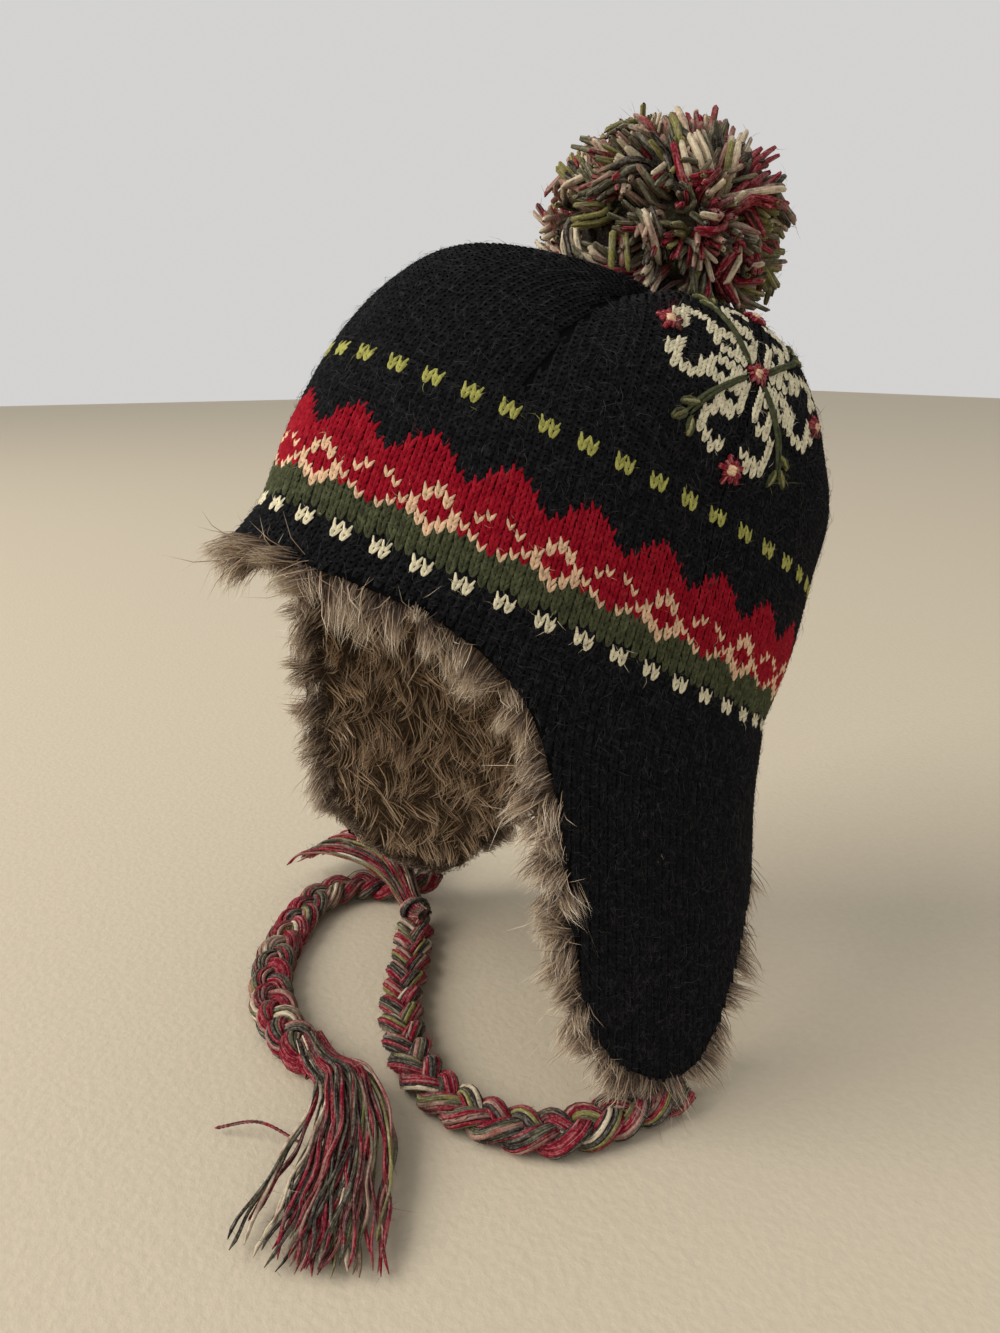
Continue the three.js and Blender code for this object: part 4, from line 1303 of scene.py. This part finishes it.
class BEANIE_OT_stage(bpy.types.Operator):
    """Sets the camera, the pale floor and the soft window light"""
    bl_idname = "beanie.stage"
    bl_label = "Stage"

    def execute(self, context):
        s = context.scene.beanie_stage
        yaw, pitch = math.radians(VIEW_YAW), math.radians(VIEW_PITCH)
        right = Vector((math.cos(yaw), math.sin(yaw), 0))
        back = Vector((math.sin(yaw) * math.cos(pitch), -math.cos(yaw) * math.cos(pitch),
                       math.sin(pitch)))
        up = back.cross(right)
        data = bpy.data.cameras.new("view")
        data.sensor_width = SENSOR
        data.lens = SENSOR * FOCAL / FRAME_HIGH
        data.clip_start = 0.01
        camera = bpy.data.objects.new("view", data)
        turned = Matrix((right, up, back)).transposed().to_4x4()
        camera.matrix_world = Matrix.Translation(VIEW_FROM) @ turned
        context.scene.collection.objects.link(camera)
        context.scene.camera = camera
        me = bpy.data.meshes.new("floor")
        corners = [(x * FLOOR_HALF, y * FLOOR_HALF, s.level)
                   for x, y in ((-1, -1), (1, -1), (1, 1), (-1, 1))]
        me.from_pydata(corners, [], [(0, 1, 2, 3)])
        floor = bpy.data.objects.new("floor", me)
        context.scene.collection.objects.link(floor)
        me.materials.append(self.vinyl(s.floor))
        world = bpy.data.worlds.new("surround")
        world.use_nodes = True
        tree = world.node_tree
        tree.nodes.clear()
        sky = add_node(tree, "ShaderNodeBackground", (), {"Color": s.sky, "Strength": 0.86})
        add_node(tree, "ShaderNodeOutputWorld", {0: (sky, 0)})
        context.scene.world = world
        context.scene.view_settings.view_transform = "Standard"
        # Lamp, place and size in metres, power and tint.
        for name, place, size, power, tint in (
                ("window", (-0.75, -2.85, 2.25), 2.7, s.key, linear("#fffaf2")),
                ("room", (2.7, 1.05, 2.7), 3.6, s.key * 0.05, linear("#f2f5ff"))):
            lamp = bpy.data.lights.new(name, "AREA")
            lamp.size = size
            lamp.energy = power
            lamp.color = tint[:3]
            obj = bpy.data.objects.new(name, lamp)
            obj.location = place
            aim = Vector((0, 0, 0)) - Vector(place)
            obj.rotation_euler = aim.to_track_quat("-Z", "Y").to_euler()
            context.scene.collection.objects.link(obj)
        return {"FINISHED"}

    def vinyl(self, colour):
        """Pale embossed vinyl sheet: a plain floor with a fine soft grain."""
        mat, tree = fresh("floor_vinyl")
        where = add_node(tree, "ShaderNodeTexCoord")
        # Embossed grain, 3 mm from ridge to ridge.
        grain = add_node(tree, "ShaderNodeTexNoise", {"Vector": (where, "Object")},
                         {"Scale": 330.0, "Detail": 3.0, "Roughness": 0.5})
        tone = add_node(tree, "ShaderNodeValToRGB", {"Fac": (grain, "Fac")},
                        stops=[(0.35, shade(colour, 0.96)), (0.65, colour)])
        bump = add_node(tree, "ShaderNodeBump", {"Height": (grain, "Fac")},
                        {"Strength": 0.5, "Distance": 0.0008})
        skin = add_node(tree, "ShaderNodeBsdfPrincipled", {
            "Base Color": (tone, "Color"), "Normal": (bump, "Normal")},
            {"Roughness": 0.7, "Specular IOR Level": 0.25})
        add_node(tree, "ShaderNodeOutputMaterial", {0: (skin, 0)})
        return mat


class BEANIE_PT_pieces(bpy.types.Panel):
    """Pieces of the beanie, each with its own button"""
    bl_label = "Earflap Beanie"
    bl_idname = "BEANIE_PT_pieces"
    bl_space_type = "VIEW_3D"
    bl_region_type = "UI"
    bl_category = "Beanie"

    def draw(self, context):
        for op in OPERATORS:
            self.layout.operator(op.bl_idname)
        for name in GROUPS:
            box = self.layout.box()
            group = getattr(context.scene, name)
            for key in group.__annotations__:
                box.prop(group, key)


GROUPS = {"beanie_stage": BeanieStage, "beanie_yarn": BeanieYarn, "beanie_knit": BeanieKnit,
          "beanie_lining": BeanieLining}
OPERATORS = [BEANIE_OT_stage, BEANIE_OT_braids, BEANIE_OT_knit, BEANIE_OT_star,
             BEANIE_OT_lining, BEANIE_OT_pompom]


def register():
    """Adds the classes and hangs each group of settings on the scene."""
    for cls in (*GROUPS.values(), *OPERATORS, BEANIE_PT_pieces):
        bpy.utils.register_class(cls)
    for name, cls in GROUPS.items():
        setattr(bpy.types.Scene, name, bpy.props.PointerProperty(type=cls))


def unregister():
    """Takes the settings and classes away again."""
    for name in GROUPS:
        delattr(bpy.types.Scene, name)
    for cls in reversed((*GROUPS.values(), *OPERATORS, BEANIE_PT_pieces)):
        bpy.utils.unregister_class(cls)


def main():
    """Builds the stage and every piece."""
    register()
    bpy.ops.beanie.stage()
    bpy.ops.beanie.braids()
    bpy.ops.beanie.knit()
    bpy.ops.beanie.star()
    bpy.ops.beanie.lining()
    bpy.ops.beanie.pompom()


if __name__ == "__main__":
    main()
